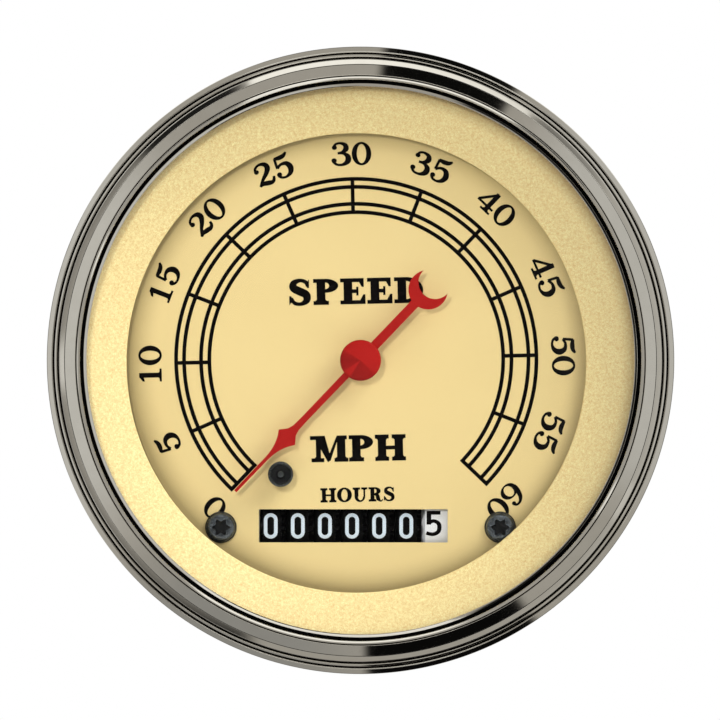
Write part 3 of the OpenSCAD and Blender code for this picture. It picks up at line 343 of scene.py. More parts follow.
# %% Metal finishes
METALS = {  # dark and light tone, roughness, bump
    "brass": ((176, 138, 68), (206, 170, 96), (0.22, 0.4), 0.1),
    "nose_brass": ((166, 132, 72), (198, 166, 98), (0.24, 0.42), 0.1),
    "bronze": ((150, 108, 62), (182, 138, 86), (0.26, 0.42), 0.1),
    "terminal_brass": ((190, 164, 104), (212, 190, 134), (0.2, 0.36), 0.05),
    "steel": ((140, 142, 146), (176, 178, 182), (0.22, 0.4), 0.1),
    "stud_zinc": ((170, 168, 158), (200, 198, 188), (0.28, 0.45), 0.15),
    "plate_zinc": ((156, 156, 150), (186, 186, 180), (0.3, 0.48), 0.15),
    "base_casting": ((140, 141, 142), (172, 173, 174), (0.42, 0.6), 0.5),
    "cup_aluminium": ((184, 188, 190), (206, 208, 210), (0.25, 0.4), 0.1),
    "field_iron": ((92, 92, 94), (122, 122, 124), (0.4, 0.58), 0.3),
    "motor_steel": ((128, 131, 136), (160, 162, 166), (0.28, 0.44), 0.15),
}


def bare_metal(name, dark, light, rough, relief):
    return finish(name, dark, light, rough, metal=1.0, grain=2000, patch=220, amount=0.6, bump=relief)


for slot_name, row in METALS.items():
    FINISHES[slot_name] = bare_metal(slot_name, *row)
print("metal finishes:", len(METALS))

# %% [markdown]
# Bezel plating is smooth and bright: nearly everything it shows is reflection, so its look comes
# mostly from the studio around it. A trace of haze keeps it from looking like a mirror ball. The steep
# wall inside the crest and the thin grooves get a dull black without any gloss, a second finish that
# is painted dark reflection and shade. A third black, with a little gloss, is painted shade in the
# recesses of small screws.

# %% Bezel plating
FINISHES["bezel_chrome"] = finish(
    "bezel_chrome", (206, 202, 192), (218, 214, 205), (0.05, 0.12), metal=1.0, grain=600, patch=50,
    amount=0.3, scratch=1400)
# painted dark reflection and shade for the bezel's inner wall and grooves
FINISHES["bezel_wall"] = finish(
    "bezel_wall", (3, 3, 3), (8, 8, 7), (0.3, 0.42), grain=800, patch=60, amount=0.4, specular=0.0)
# painted shade for screw recesses, slots and the stop pin's dish
FINISHES["recess_painted_shade"] = finish(
    "recess_painted_shade", (8, 9, 10), (24, 26, 28), (0.4, 0.55), grain=3000, specular=0.3)
print("plating roughness 0.05 to 0.12")

# %% [markdown]
# Glass needs care in a path tracer: light that reaches the dial has to cross the lens, and a plain
# glass shader would stop it there. Light Path tells the material which ray is asking. Rays from lamps
# and from painted surfaces pass straight through, and only what the camera or a polished piece sees is
# real glass with its reflections.

# %% Glass
def glass(name, colour, rough):
    """Clear glass that lets lamps and painted surfaces see straight through."""
    material = bpy.data.materials.new(name)
    material.use_nodes = True
    tree = material.node_tree
    shader = tree.nodes["Principled BSDF"]
    shader.inputs["Base Color"].default_value = colour
    shader.inputs["Roughness"].default_value = rough
    shader.inputs["IOR"].default_value = 1.5
    shader.inputs["Transmission Weight"].default_value = 1.0
    asking = add_node(tree, "ShaderNodeLightPath")
    lets_by = maths(tree, "MAXIMUM", asking.outputs["Is Shadow Ray"], asking.outputs["Is Diffuse Ray"])
    clear = add_node(tree, "ShaderNodeBsdfTransparent", {"Color": colour})
    both = add_node(tree, "ShaderNodeMixShader", {0: lets_by, 1: shader.outputs[0], 2: clear.outputs[0]})
    tree.links.new(both.outputs[0], tree.nodes["Material Output"].inputs["Surface"])
    return material


FINISHES["lens_glass"] = glass("lens_glass", (1.0, 1.0, 1.0, 1.0), 0.0)
FINISHES["bulb_glass"] = glass("bulb_glass", tint(250, 246, 232), 0.05)
print("glass finishes: lens_glass, bulb_glass")

# %% [markdown]
# The dial lies deep under its trim ring, and the ring's shade on it is painted: the cream turns darker
# towards the edge. The distance from the spindle axis drives it: a Map Range node turns radius into a
# mask, and the mask multiplies the finish that is already there. On the trim ring a painted shadow of
# the bezel lies deeper at the upper right, so that mask has its centre a little to the lower left.

# %% Edge shade of the dial
SHADE_CURVE = 1.7


def edge_shade(material, clear_r, dark_r, tone, centre=(0.0, 0.0)):
    """Darken a finish with painted shade from one radius to another, measured from a centre (x, z), all in
    millimetres.
    """
    tree = material.node_tree
    middle = (centre[0] * MM, 0, centre[1] * MM)
    place = add_node(tree, "ShaderNodeVectorMath", {0: object_place(tree), 1: middle}, operation="SUBTRACT")
    part = map_range(tree, off_axis(tree, place.outputs[0]), clear_r * MM, dark_r * MM)
    shade = mix_colours(tree, maths(tree, "POWER", part, SHADE_CURVE), (1, 1, 1, 1), tone)
    lay_over(material, 1.0, shade, "MULTIPLY")


# painted shade on the dial under the trim ring, and a painted shadow of the bezel on the trim ring
edge_shade(FINISHES["dial_cream"], 30.4, 34.6, (0.5, 0.49, 0.46, 1))
edge_shade(FINISHES["trim_cream"], 39.4, 41.8, (0.48, 0.42, 0.35, 1), (-0.6, -0.75))
print("dial shaded from 30.4 mm outwards, trim ring from 39.4 mm")

# %% [markdown]
# Enamel wears first where a part is set down: here on the rear corner of the case. The same idea as the
# edge shade finds that corner from radius and depth together, and noise breaks it into chips that
# show the grey primer and are duller than the paint.

# %% Worn corner of the case
CHIP_BAND, PRIMER_ROUGHNESS = 0.9, 0.6


def worn_corner(material, radius, depth, primer):
    """Chips along the ring where a turned case passes both a radius and a depth, in millimetres."""
    tree = material.node_tree
    place = object_place(tree)
    out = map_range(tree, off_axis(tree, place), (radius - CHIP_BAND) * MM, radius * MM)
    back = map_range(tree, axes_of(tree, place)[1], (depth - CHIP_BAND) * MM, depth * MM)
    near = maths(tree, "MULTIPLY", out, back)
    chips = map_range(tree, maths(tree, "MULTIPLY", near, noise(tree, place, 420.0, 5.0)), 0.3, 0.4)
    lay_over(material, chips, primer)
    gloss = tree.nodes["Principled BSDF"].inputs["Roughness"]
    duller = add_node(tree, "ShaderNodeMix", {0: chips, 2: gloss.links[0].from_socket, 3: PRIMER_ROUGHNESS})
    tree.links.new(duller.outputs[0], gloss)


case_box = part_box("case")
worn_corner(FINISHES["case_black"], 42.0, case_box[1].y / MM - 0.2, tint(104, 104, 100))
print("case corner at depth", round(case_box[1].y / MM, 2))

# %% [markdown]
# Solids whose shape is already right keep their mesh. Each gets the finish that its row in the record
# names, through its own material slot, and none of them is moved.

# %% Finish the solids
for row in frame["record"]["subparts"]:
    solid = frame["nodes"][row["node"]]
    for place in solid.material_slots:
        place.material = FINISHES[row["material_slot"]]

# %% [markdown]
# The drive spindle ends in a square socket for the cable's tongue. A lamp alone would not darken its inside
# on bright steel, so the shade of the deep socket is painted: the spindle gets a steel of its own,
# darkened inside the square and below the end face.

# %% Painted shade in the socket of the drive spindle
SOCKET_REACH, SOCKET_LIP, SOCKET_FADE = 1.37, 0.05, 2.0
FINISHES["spindle_steel_painted_socket_shade"] = bare_metal("spindle_steel_painted_socket_shade", *METALS["steel"])
spindle_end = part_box("drive_spindle")[1].y
tree = FINISHES["spindle_steel_painted_socket_shade"].node_tree
x, y, z = axes_of(tree, object_place(tree))
sideways = maths(tree, "MAXIMUM", maths(tree, "ABSOLUTE", x), maths(tree, "ABSOLUTE", z))
inside = maths(tree, "LESS_THAN", sideways, SOCKET_REACH * MM)
deep = map_range(tree, y, spindle_end - SOCKET_LIP * MM, spindle_end - SOCKET_FADE * MM)
# painted shade inside the square socket
lay_over(FINISHES["spindle_steel_painted_socket_shade"], maths(tree, "MULTIPLY", inside, deep), tint(26, 24, 22))
for place in frame["nodes"]["drive_spindle"].material_slots:
    place.material = FINISHES["spindle_steel_painted_socket_shade"]
print("spindle ends at", round(spindle_end / MM, 2))

# %% [markdown]
# Most visible pieces are turned: a profile of radius and depth swept round an axis. No real edge is razor
# sharp, so a helper rounds the profile's corners first.

# %% Rounded corners
def rounded(corners, steps=5):
    """Points of a closed outline from corners of (radius, depth, fillet radius)."""
    points = []
    for i, (r, y, fillet) in enumerate(corners):
        here = np.array((r, y), float)
        back = np.array(corners[i - 1][:2], float) - here
        ahead = np.array(corners[(i + 1) % len(corners)][:2], float) - here
        if fillet <= 0:
            points.append((r, y))
            continue
        u, v = back / np.linalg.norm(back), ahead / np.linalg.norm(ahead)
        half = math.acos(max(-1.0, min(1.0, float(u @ v)))) / 2
        cut = min(fillet / math.tan(half), 0.49 * np.linalg.norm(back), 0.49 * np.linalg.norm(ahead))
        radius = cut * math.tan(half)
        middle = here + (u + v) / np.linalg.norm(u + v) * radius / math.sin(half)
        first, last = here + u * cut - middle, here + v * cut - middle
        sweep = math.pi - 2 * half
        for s in np.linspace(0, 1, steps + 1):
            turn = (math.sin((1 - s) * sweep) * first + math.sin(s * sweep) * last) / math.sin(sweep)
            points.append(tuple(middle + turn))
    return points


print("a rounded square has", len(rounded([(0, 0, 1), (4, 0, 1), (4, 4, 1), (0, 4, 1)])), "points")

# %% [markdown]
# Two more helpers make the pieces. Faces are smooth except where two of them meet at a clear angle.
# Weighted normals keep flat faces flat beside their fillets, which matters most on glass, where a bent
# normal would magnify the dial.

# %% Turned pieces
def new_piece(name, points, faces, *finishes, sharp=32.0):
    """A mesh object at the origin from points in millimetres, its faces turned outwards."""
    mesh = bpy.data.meshes.new(name)
    mesh.from_pydata([(x * MM, y * MM, z * MM) for x, y, z in points], [], faces)
    work = bmesh.new()
    work.from_mesh(mesh)
    bmesh.ops.remove_doubles(work, verts=work.verts, dist=1e-8)
    bmesh.ops.recalc_face_normals(work, faces=work.faces)
    work.to_mesh(mesh)
    work.free()
    mesh.polygons.foreach_set("use_smooth", [True] * len(mesh.polygons))
    mesh.set_sharp_from_angle(angle=math.radians(sharp))
    for material in finishes:
        mesh.materials.append(material)
    piece = add_object(name, mesh)
    even = piece.modifiers.new("even_shading", "WEIGHTED_NORMAL")
    even.keep_sharp = True
    piece.data = plain_mesh(piece)
    piece.modifiers.clear()
    return piece


def turned(name, outline, finish_made, at=(0.0, 0.0), steps=256, sharp=32.0):
    """A closed outline of (radius, depth) turned about a line along Y through the place (x, z)."""
    points, rings, faces = [], [], []
    for r, y in outline:
        count = 1 if r < 1e-6 else steps
        rings.append(range(len(points), len(points) + count))
        for k in range(count):
            a = 2 * math.pi * k / steps
            points.append((at[0] + r * math.cos(a), y, at[1] + r * math.sin(a)))
    for i, ring in enumerate(rings):
        near = rings[(i + 1) % len(rings)]
        for k in range(steps):
            corners = [ring[k % len(ring)], ring[(k + 1) % len(ring)],
                       near[(k + 1) % len(near)], near[k % len(near)]]
            corners = list(dict.fromkeys(corners))
            if len(corners) > 2:
                faces.append(corners)
    return new_piece(name, points, faces, finish_made, sharp=sharp)


print("helpers for turned pieces ready")

# %% [markdown]
# The bezel is a rolled and plated ring with stepped beads: two narrow outer beads with dark grooves, a
# wider bead, a broad smooth band that rises to a narrow crest, a steep inner wall and a thin rim on the
# lens. Each facet's tilt decides what it mirrors, so the outline is drawn corner by corner, with small
# fillets.

# %% Bezel
bezel_corners = [  # radius, depth, fillet radius
    (43.15, 0.0, 0), (46.7, 0.0, 0.15), (47.0, -0.4, 0.15), (47.0, -4.5, 0.25), (46.08, -5.09, 0.16),
    (46.02, -4.25, 0.04), (45.88, -4.25, 0.04), (45.84, -5.05, 0.1), (45.44, -5.29, 0.1),
    (45.38, -4.25, 0.04), (45.28, -4.25, 0.04), (45.14, -6.1, 0.2), (44.3, -6.38, 0.13),
    (44.26, -6.54, 0.03), (44.22, -7.16, 0.06), (42.62, -8.1, 0.12), (42.58, -7.92, 0.03),
    (42.48, -8.0, 0.03), (42.44, -8.49, 0.07), (41.96, -8.575, 0.06), (41.55, -5.95, 0.04),
    (41.48, -6.05, 0.04), (41.0, -5.785, 0.04), (41.0, -5.4, 0), (44.8, -5.4, 0), (44.8, -0.8, 0),
    (43.15, -0.8, 0)]
bezel = turned("bezel_ring", rounded(bezel_corners), FINISHES["bezel_chrome"], steps=320)
DARK_BANDS = ((41.42, 41.92), (42.47, 42.61), (44.23, 44.29), (45.27, 45.41), (45.85, 46.05))
DARK_BAND_DEPTH = -4.0


def lacquered(x, y, z):
    """True in the bands of painted dark reflection and shade, on the front of the ring."""
    return y < DARK_BAND_DEPTH and any(low < math.hypot(x, z) < high for low, high in DARK_BANDS)


# the dark bands are painted dark reflection and shade on the plating
second_finish(bezel, FINISHES["bezel_wall"], lacquered)
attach(bezel, "housing")
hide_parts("bezel")
print("bezel faces:", len(bezel.data.polygons))

# %% [markdown]
# Behind the glass a cream ring slopes down to the dial. Its paint is sprayed over fine sand, which is
# why it sparkles a little, and its inner edge is softly rounded. On this one the opening sits a little
# left of centre and low, so its points lean that way the nearer they are to it. The lens is a flat
# disc of glass with a ground edge.

# %% Trim ring and lens
SEAT_R, TRIM_R, TRIM_OPENING = 44.7, 41.2, 34.5
TRIM_LEAN = Vector((-0.64, 0, -0.4)) * MM
trim = turned("trim_ring_painted", rounded([
    (SEAT_R, -2.6, 0), (TRIM_R, -2.6, 0.3), (TRIM_OPENING, -0.2, 0.3), (TRIM_OPENING, 0.6, 0.2),
    (TRIM_R, -1.8, 0), (SEAT_R, -1.8, 0)]), FINISHES["trim_cream"])
lens = turned("lens_disc", rounded([
    (0, -5.4, 0), (SEAT_R, -5.4, 0.25), (SEAT_R, -3.4, 0.25), (0, -3.4, 0)], 2), FINISHES["lens_glass"],
    steps=192, sharp=10)
for point in trim.data.vertices:
    reach = math.hypot(point.co.x, point.co.z) / MM
    point.co += TRIM_LEAN * max(0.0, (TRIM_R - reach) / (TRIM_R - TRIM_OPENING))
for piece, solid, slot_name in ((trim, "trim_ring", "trim_cream"), (lens, "lens", "lens_glass")):
    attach(piece, "housing")
    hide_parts(solid)

# %% [markdown]
# The scale on the dial is four arcs and thirteen ticks. They repeat and follow a path, so Geometry
# Nodes make them. Each tree has named inputs for its sizes. A modifier's inputs are set by identifier
# before the first evaluation, the result becomes a plain mesh, and the helper object goes away.

# %% Helpers for geometry trees
def new_tree(name, sizes):
    """An empty geometry tree with named inputs, and the sockets that they give."""
    tree = bpy.data.node_groups.new(name, "GeometryNodeTree")
    tree.interface.new_socket(name="Geometry", in_out="OUTPUT", socket_type="NodeSocketGeometry")
    for title, kind in sizes:
        tree.interface.new_socket(name=title, in_out="INPUT", socket_type=kind)
    return tree, tree.nodes.new("NodeGroupInput").outputs


def end_tree(tree, geometry, material):
    """Every tree ends in real geometry with its finish, because instances are lost on export."""
    real = add_node(tree, "GeometryNodeRealizeInstances", {0: geometry})
    coated = add_node(tree, "GeometryNodeSetMaterial", {"Geometry": real.outputs[0], "Material": material})
    out = tree.nodes.new("NodeGroupOutput")
    tree.links.new(coated.outputs[0], out.inputs["Geometry"])


def grown(name, tree, sizes, points=(), edges=(), faces=()):
    """A plain mesh object grown from a tree with the given sizes, and from a start shape if it needs one."""
    start = bpy.data.meshes.new(name + "_seed")
    start.from_pydata(points, edges, faces)
    seed = add_object(name + "_seed", start)
    modifier = seed.modifiers.new("grow", "NODES")
    modifier.node_group = tree
    ids = {s.name: s.identifier for s in tree.interface.items_tree if s.in_out == "INPUT"}
    for title, value in sizes.items():
        modifier[ids[title]] = value
    mesh = plain_mesh(seed)
    bpy.data.objects.remove(seed, do_unlink=True)
    mesh.name = name
    return add_object(name, mesh)


INT = "NodeSocketInt"
print("trees end in real geometry")

# %% [markdown]
# Some steps are the same in several trees: a place on a circle, one instance on each of a row of points,
# a section swept along a path. They get helpers of their own.

# %% Helpers for repeats and sweeps
def point_number(tree):
    """0 for the first point, 1 for the next, and so on."""
    return add_node(tree, "GeometryNodeInputIndex").outputs[0]


def on_circle(tree, radius, angle, depth=0.0):
    """A place on a circle round the Y axis."""
    return add_node(tree, "ShaderNodeCombineXYZ", {
        0: maths(tree, "MULTIPLY", radius, maths(tree, "COSINE", angle)), 1: depth,
        2: maths(tree, "MULTIPLY", radius, maths(tree, "SINE", angle))}).outputs[0]


def shifted(tree, place, by):
    """A place moved by a vector."""
    return add_node(tree, "ShaderNodeVectorMath", {0: place, 1: by}, operation="ADD").outputs[0]


def on_points(tree, count, place, instance, turn):
    """One instance on each of a number of points."""
    points = add_node(tree, "GeometryNodePoints", {"Count": count, "Position": place})
    return add_node(tree, "GeometryNodeInstanceOnPoints", {
        "Points": points.outputs[0], "Instance": instance, "Rotation": turn}).outputs[0]


def swept(tree, path, section):
    """A section swept along a path, with its ends closed."""
    return add_node(tree, "GeometryNodeCurveToMesh", {
        "Curve": path, "Profile Curve": section, "Fill Caps": True}).outputs[0]


def circle_curve(tree, points, radius):
    """A small round section of so many points."""
    return add_node(tree, "GeometryNodeCurvePrimitiveCircle", {
        "Resolution": points, "Radius": radius}, mode="RADIUS").outputs[0]


def placed(tree, geometry, place, turn):
    """Geometry turned and moved."""
    return add_node(tree, "GeometryNodeTransform", {
        "Geometry": geometry, "Translation": place, "Rotation": turn}).outputs[0]


print("tree helpers ready")

# %% [markdown]
# On the real dial the scale is screen printed: thin black ink that stands a few hundredths of a
# millimetre proud. The print sits a little off the spindle axis and is turned by one and a quarter
# degrees, as the photograph shows, so its centre and tilt are values of their own.

# %% Scale ticks
PRINT_CENTRE = (-0.64, 0.19)
PRINT_TILT = math.radians(1.25)
Y_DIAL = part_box("dial")[0].y / MM
INK_RISE, INK_SINK = 0.03, 0.01
TICKS, TICK_STEP = 13, math.radians(22.5)
FIRST_TICK = math.radians(-45) + PRINT_TILT
ARC_RADII = (22.1, 23.35, 25.9, 27.1)
LINE = 0.57

tick_tree, given = new_tree("scale_ticks", [
    ("Count", INT), ("First Angle", FLOAT), ("Angle Step", FLOAT), ("Inner", FLOAT), ("Outer", FLOAT),
    ("Line", FLOAT), ("Rise", FLOAT), ("Centre", VECTOR)])
angle = maths(tick_tree, "MULTIPLY_ADD", point_number(tick_tree), given["Angle Step"], given["First Angle"])
middle = maths(tick_tree, "MULTIPLY", maths(tick_tree, "ADD", given["Inner"], given["Outer"]), 0.5)
spot = shifted(tick_tree, on_circle(tick_tree, middle, angle), given["Centre"])
size = add_node(tick_tree, "ShaderNodeCombineXYZ", {
    0: maths(tick_tree, "SUBTRACT", given["Outer"], given["Inner"]), 1: given["Rise"], 2: given["Line"]})
bar = add_node(tick_tree, "GeometryNodeMeshCube", {"Size": size.outputs[0]})
turn = add_node(tick_tree, "ShaderNodeCombineXYZ", {1: maths(tick_tree, "MULTIPLY", angle, -1.0)})
bars = on_points(tick_tree, given["Count"], spot, bar.outputs[0], turn.outputs[0])
end_tree(tick_tree, bars, FINISHES["ink_black"])

print_depth = Y_DIAL - (INK_RISE - INK_SINK) / 2
print_place = (PRINT_CENTRE[0] * MM, print_depth * MM, PRINT_CENTRE[1] * MM)
ticks = grown("scale_ticks", tick_tree, {
    "Count": TICKS, "First Angle": FIRST_TICK, "Angle Step": TICK_STEP, "Line": LINE * MM,
    "Inner": (ARC_RADII[0] - LINE / 2) * MM, "Outer": (ARC_RADII[3] + LINE / 2) * MM,
    "Rise": (INK_RISE + INK_SINK) * MM, "Centre": print_place})
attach(ticks, "housing")
print("tick faces:", len(ticks.data.polygons))

# %% [markdown]
# The arcs follow a path: each is a curve with a flat strip swept along it. One tree makes one arc from
# its radius, and is used four times. The strip stands a hair prouder than the ticks, so the faces of the
# two never lie in one plane.

# %% Scale arcs
arc_tree, given = new_tree("scale_arc", [
    ("Radius", FLOAT), ("Start", FLOAT), ("Sweep", FLOAT), ("Line", FLOAT), ("Rise", FLOAT),
    ("Centre", VECTOR)])
arc = add_node(arc_tree, "GeometryNodeCurveArc", {
    "Resolution": 181, "Radius": given["Radius"], "Start Angle": given["Start"],
    "Sweep Angle": given["Sweep"]}, mode="RADIUS")
strip = add_node(arc_tree, "GeometryNodeCurvePrimitiveQuadrilateral", {
    "Width": given["Line"], "Height": given["Rise"]}, mode="RECTANGLE")
flat_arc = swept(arc_tree, arc.outputs[0], strip.outputs[0])
end_tree(arc_tree, placed(arc_tree, flat_arc, given["Centre"], (math.pi / 2, 0, 0)), FINISHES["ink_black"])
for count, radius in enumerate(ARC_RADII, 1):
    arc_piece = grown(f"scale_arc_{count}", arc_tree, {
        "Radius": radius * MM, "Start": FIRST_TICK, "Sweep": (TICKS - 1) * TICK_STEP, "Line": LINE * MM,
        "Rise": (INK_RISE + 2 * INK_SINK) * MM, "Centre": print_place})
    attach(arc_piece, "housing")
    deep = [v.co.y for v in arc_piece.data.vertices]
    print("arc", count, "thickness in mm:", round((max(deep) - min(deep)) / MM, 3))

# %% [markdown]
# Figures and words are drawn, not taken from a font file. Each glyph is a handful of simple shapes in
# a box one unit high: bars, slab serifs, parts of oval rings, balls, and brush strokes whose width
# changes along the way. Old engraved lettering was built up much like this.

# %% Shapes that glyphs are made of
BRACKET = 0.05


def bar_shape(x0, z0, x1, z1):
    return [(x0, z0), (x1, z0), (x1, z1), (x0, z1)]


def ball_shape(x, z, r, steps=22):
    return [(x + r * math.cos(2 * math.pi * k / steps), z + r * math.sin(2 * math.pi * k / steps))
            for k in range(steps)]


def oval_part(x, z, out_x, out_z, in_x, in_z, start, stop, slide=0.0, steps=26):
    """Part of an oval ring between two angles in degrees. The inner oval may slide sideways."""
    around = [math.radians(start + (stop - start) * k / steps) for k in range(steps + 1)]
    outer = [(x + out_x * math.cos(a), z + out_z * math.sin(a)) for a in around]
    inner = [(x + slide + in_x * math.cos(a), z + in_z * math.sin(a)) for a in reversed(around)]
    return outer + inner


def oval(x, z, out_x, out_z, in_x, in_z):
    return [oval_part(x, z, out_x, out_z, in_x, in_z, start, start + 180) for start in (0, 180)]


def brush(*stops, steps=6):
    """A smooth stroke through stops of (x, z, width)."""
    p = np.array([stops[0], *stops, stops[-1]], float)
    line = [0.5 * (2 * b + (c - a) * t + (2 * a - 5 * b + 4 * c - d) * t * t
                   + (3 * b - a - 3 * c + d) * t ** 3)
            for a, b, c, d in zip(p, p[1:], p[2:], p[3:]) for t in np.arange(steps) / steps]
    line = np.array(line + [p[-1]])
    along = np.gradient(line[:, :2], axis=0)
    along /= np.linalg.norm(along, axis=1)[:, None]
    side = np.stack([-along[:, 1], along[:, 0]], 1) * line[:, 2:3] / 2
    return [tuple(v) for v in line[:, :2] + side] + [tuple(v) for v in (line[:, :2] - side)[::-1]]


def slab(x, z, half, thick, stem, up=1):
    """A slab serif on the end of a stem, with a small bracket where the two meet."""
    low, high, tip = z, z + up * thick, z + up * (thick + BRACKET)
    return [bar_shape(x - half, min(low, high), x + half, max(low, high)),
            [(x - stem / 2 - BRACKET, high), (x + stem / 2 + BRACKET, high), (x + stem / 2, tip),
             (x - stem / 2, tip)]]


print("points in a brush stroke:", len(brush((0, 0, 0.1), (1, 1, 0.2), (2, 0, 0.1))))

# %% [markdown]
# The scale's figures are of the school-book kind: strong contrast, ball ends and a wavy flag on the
# five. Only the figures from 0 to 6 occur, because the scale runs from 0 to 60 in steps of 5. One factor
# makes every stroke bolder, and a least width keeps hairlines from breaking up in print.

# %% Figures of the scale
BOLD, HAIRLINE = 1.12, 0.045


def quill(*stops):
    return brush(*[(x, z, HAIRLINE + width * BOLD) for x, z, width in stops])


FIGURES = {
    "0": (oval(0.405, 0.5, 0.41, 0.52, 0.195, 0.42), 0.82),
    "1": ([bar_shape(0.17, 0.0, 0.37, 1.0), [(0.2, 1.0), (0.01, 0.84), (0.01, 0.745), (0.2, 0.81)],
           *slab(0.27, 0.0, 0.27, 0.095, 0.2)], 0.64),
    "2": ([quill((0.12, 0.7, 0.07), (0.16, 0.88, 0.06), (0.35, 0.975, 0.06), (0.57, 0.9, 0.13),
                 (0.625, 0.71, 0.16), (0.49, 0.5, 0.13), (0.27, 0.29, 0.085), (0.1, 0.06, 0.07)),
           ball_shape(0.155, 0.715, 0.1),
           quill((0.07, 0.05, 0.05), (0.2, 0.125, 0.12), (0.4, 0.085, 0.15), (0.58, 0.05, 0.12),
                 (0.69, 0.12, 0.08), (0.74, 0.27, 0.05))], 0.78),
    "3": ([quill((0.13, 0.79, 0.07), (0.2, 0.935, 0.055), (0.37, 0.98, 0.06), (0.555, 0.9, 0.12),
                 (0.585, 0.72, 0.15), (0.45, 0.575, 0.08), (0.27, 0.535, 0.055)),
           quill((0.27, 0.535, 0.055), (0.49, 0.525, 0.07), (0.655, 0.39, 0.145), (0.645, 0.17, 0.155),
                 (0.46, 0.03, 0.075), (0.23, 0.04, 0.055), (0.09, 0.19, 0.07)),
           ball_shape(0.15, 0.785, 0.098), ball_shape(0.13, 0.215, 0.102)], 0.76),
    "4": ([bar_shape(0.47, 0.03, 0.67, 1.0),
           quill((0.6, 0.99, 0.07), (0.32, 0.63, 0.065), (0.045, 0.27, 0.065)),
           bar_shape(0.01, 0.21, 0.83, 0.315), *slab(0.57, 0.0, 0.25, 0.095, 0.2)], 0.85),
    "5": ([quill((0.165, 0.945, 0.06), (0.37, 0.905, 0.14), (0.56, 0.93, 0.12), (0.7, 1.04, 0.03)),
           quill((0.19, 0.95, 0.06), (0.165, 0.72, 0.055), (0.15, 0.49, 0.06)),
           quill((0.15, 0.49, 0.06), (0.33, 0.605, 0.07), (0.55, 0.56, 0.13), (0.645, 0.34, 0.165),
                 (0.57, 0.12, 0.13), (0.38, 0.015, 0.065), (0.19, 0.05, 0.055), (0.09, 0.19, 0.07)),
           ball_shape(0.135, 0.215, 0.102)], 0.76),
    "6": ([*oval(0.42, 0.305, 0.38, 0.325, 0.195, 0.25), ball_shape(0.63, 0.835, 0.09),
           quill((0.665, 0.83, 0.06), (0.58, 0.965, 0.055), (0.4, 0.97, 0.065), (0.22, 0.8, 0.12),
                 (0.13, 0.5, 0.15), (0.125, 0.3, 0.15))], 0.8),
}
WIDER = {"2": 1.04, "3": 1.1, "5": 1.07}
for name, (shapes, width) in FIGURES.items():
    wide = WIDER.get(name, 1.0)
    FIGURES[name] = ([[(x * wide, z) for x, z in shape] for shape in shapes], width * wide)
print("figures drawn:", "".join(FIGURES))

# %% [markdown]
# The words are bold slab capitals, a heavy cut for the two large words and a lighter one for the small
# word over the counter. Stem, serif and hairline widths are inputs, so one drawing serves both weights.

# %% Letters of the dial
def post(x, width, low=0):
    """An upright stem round a middle line."""
    return bar_shape(x - width / 2, low, x + width / 2, 1)


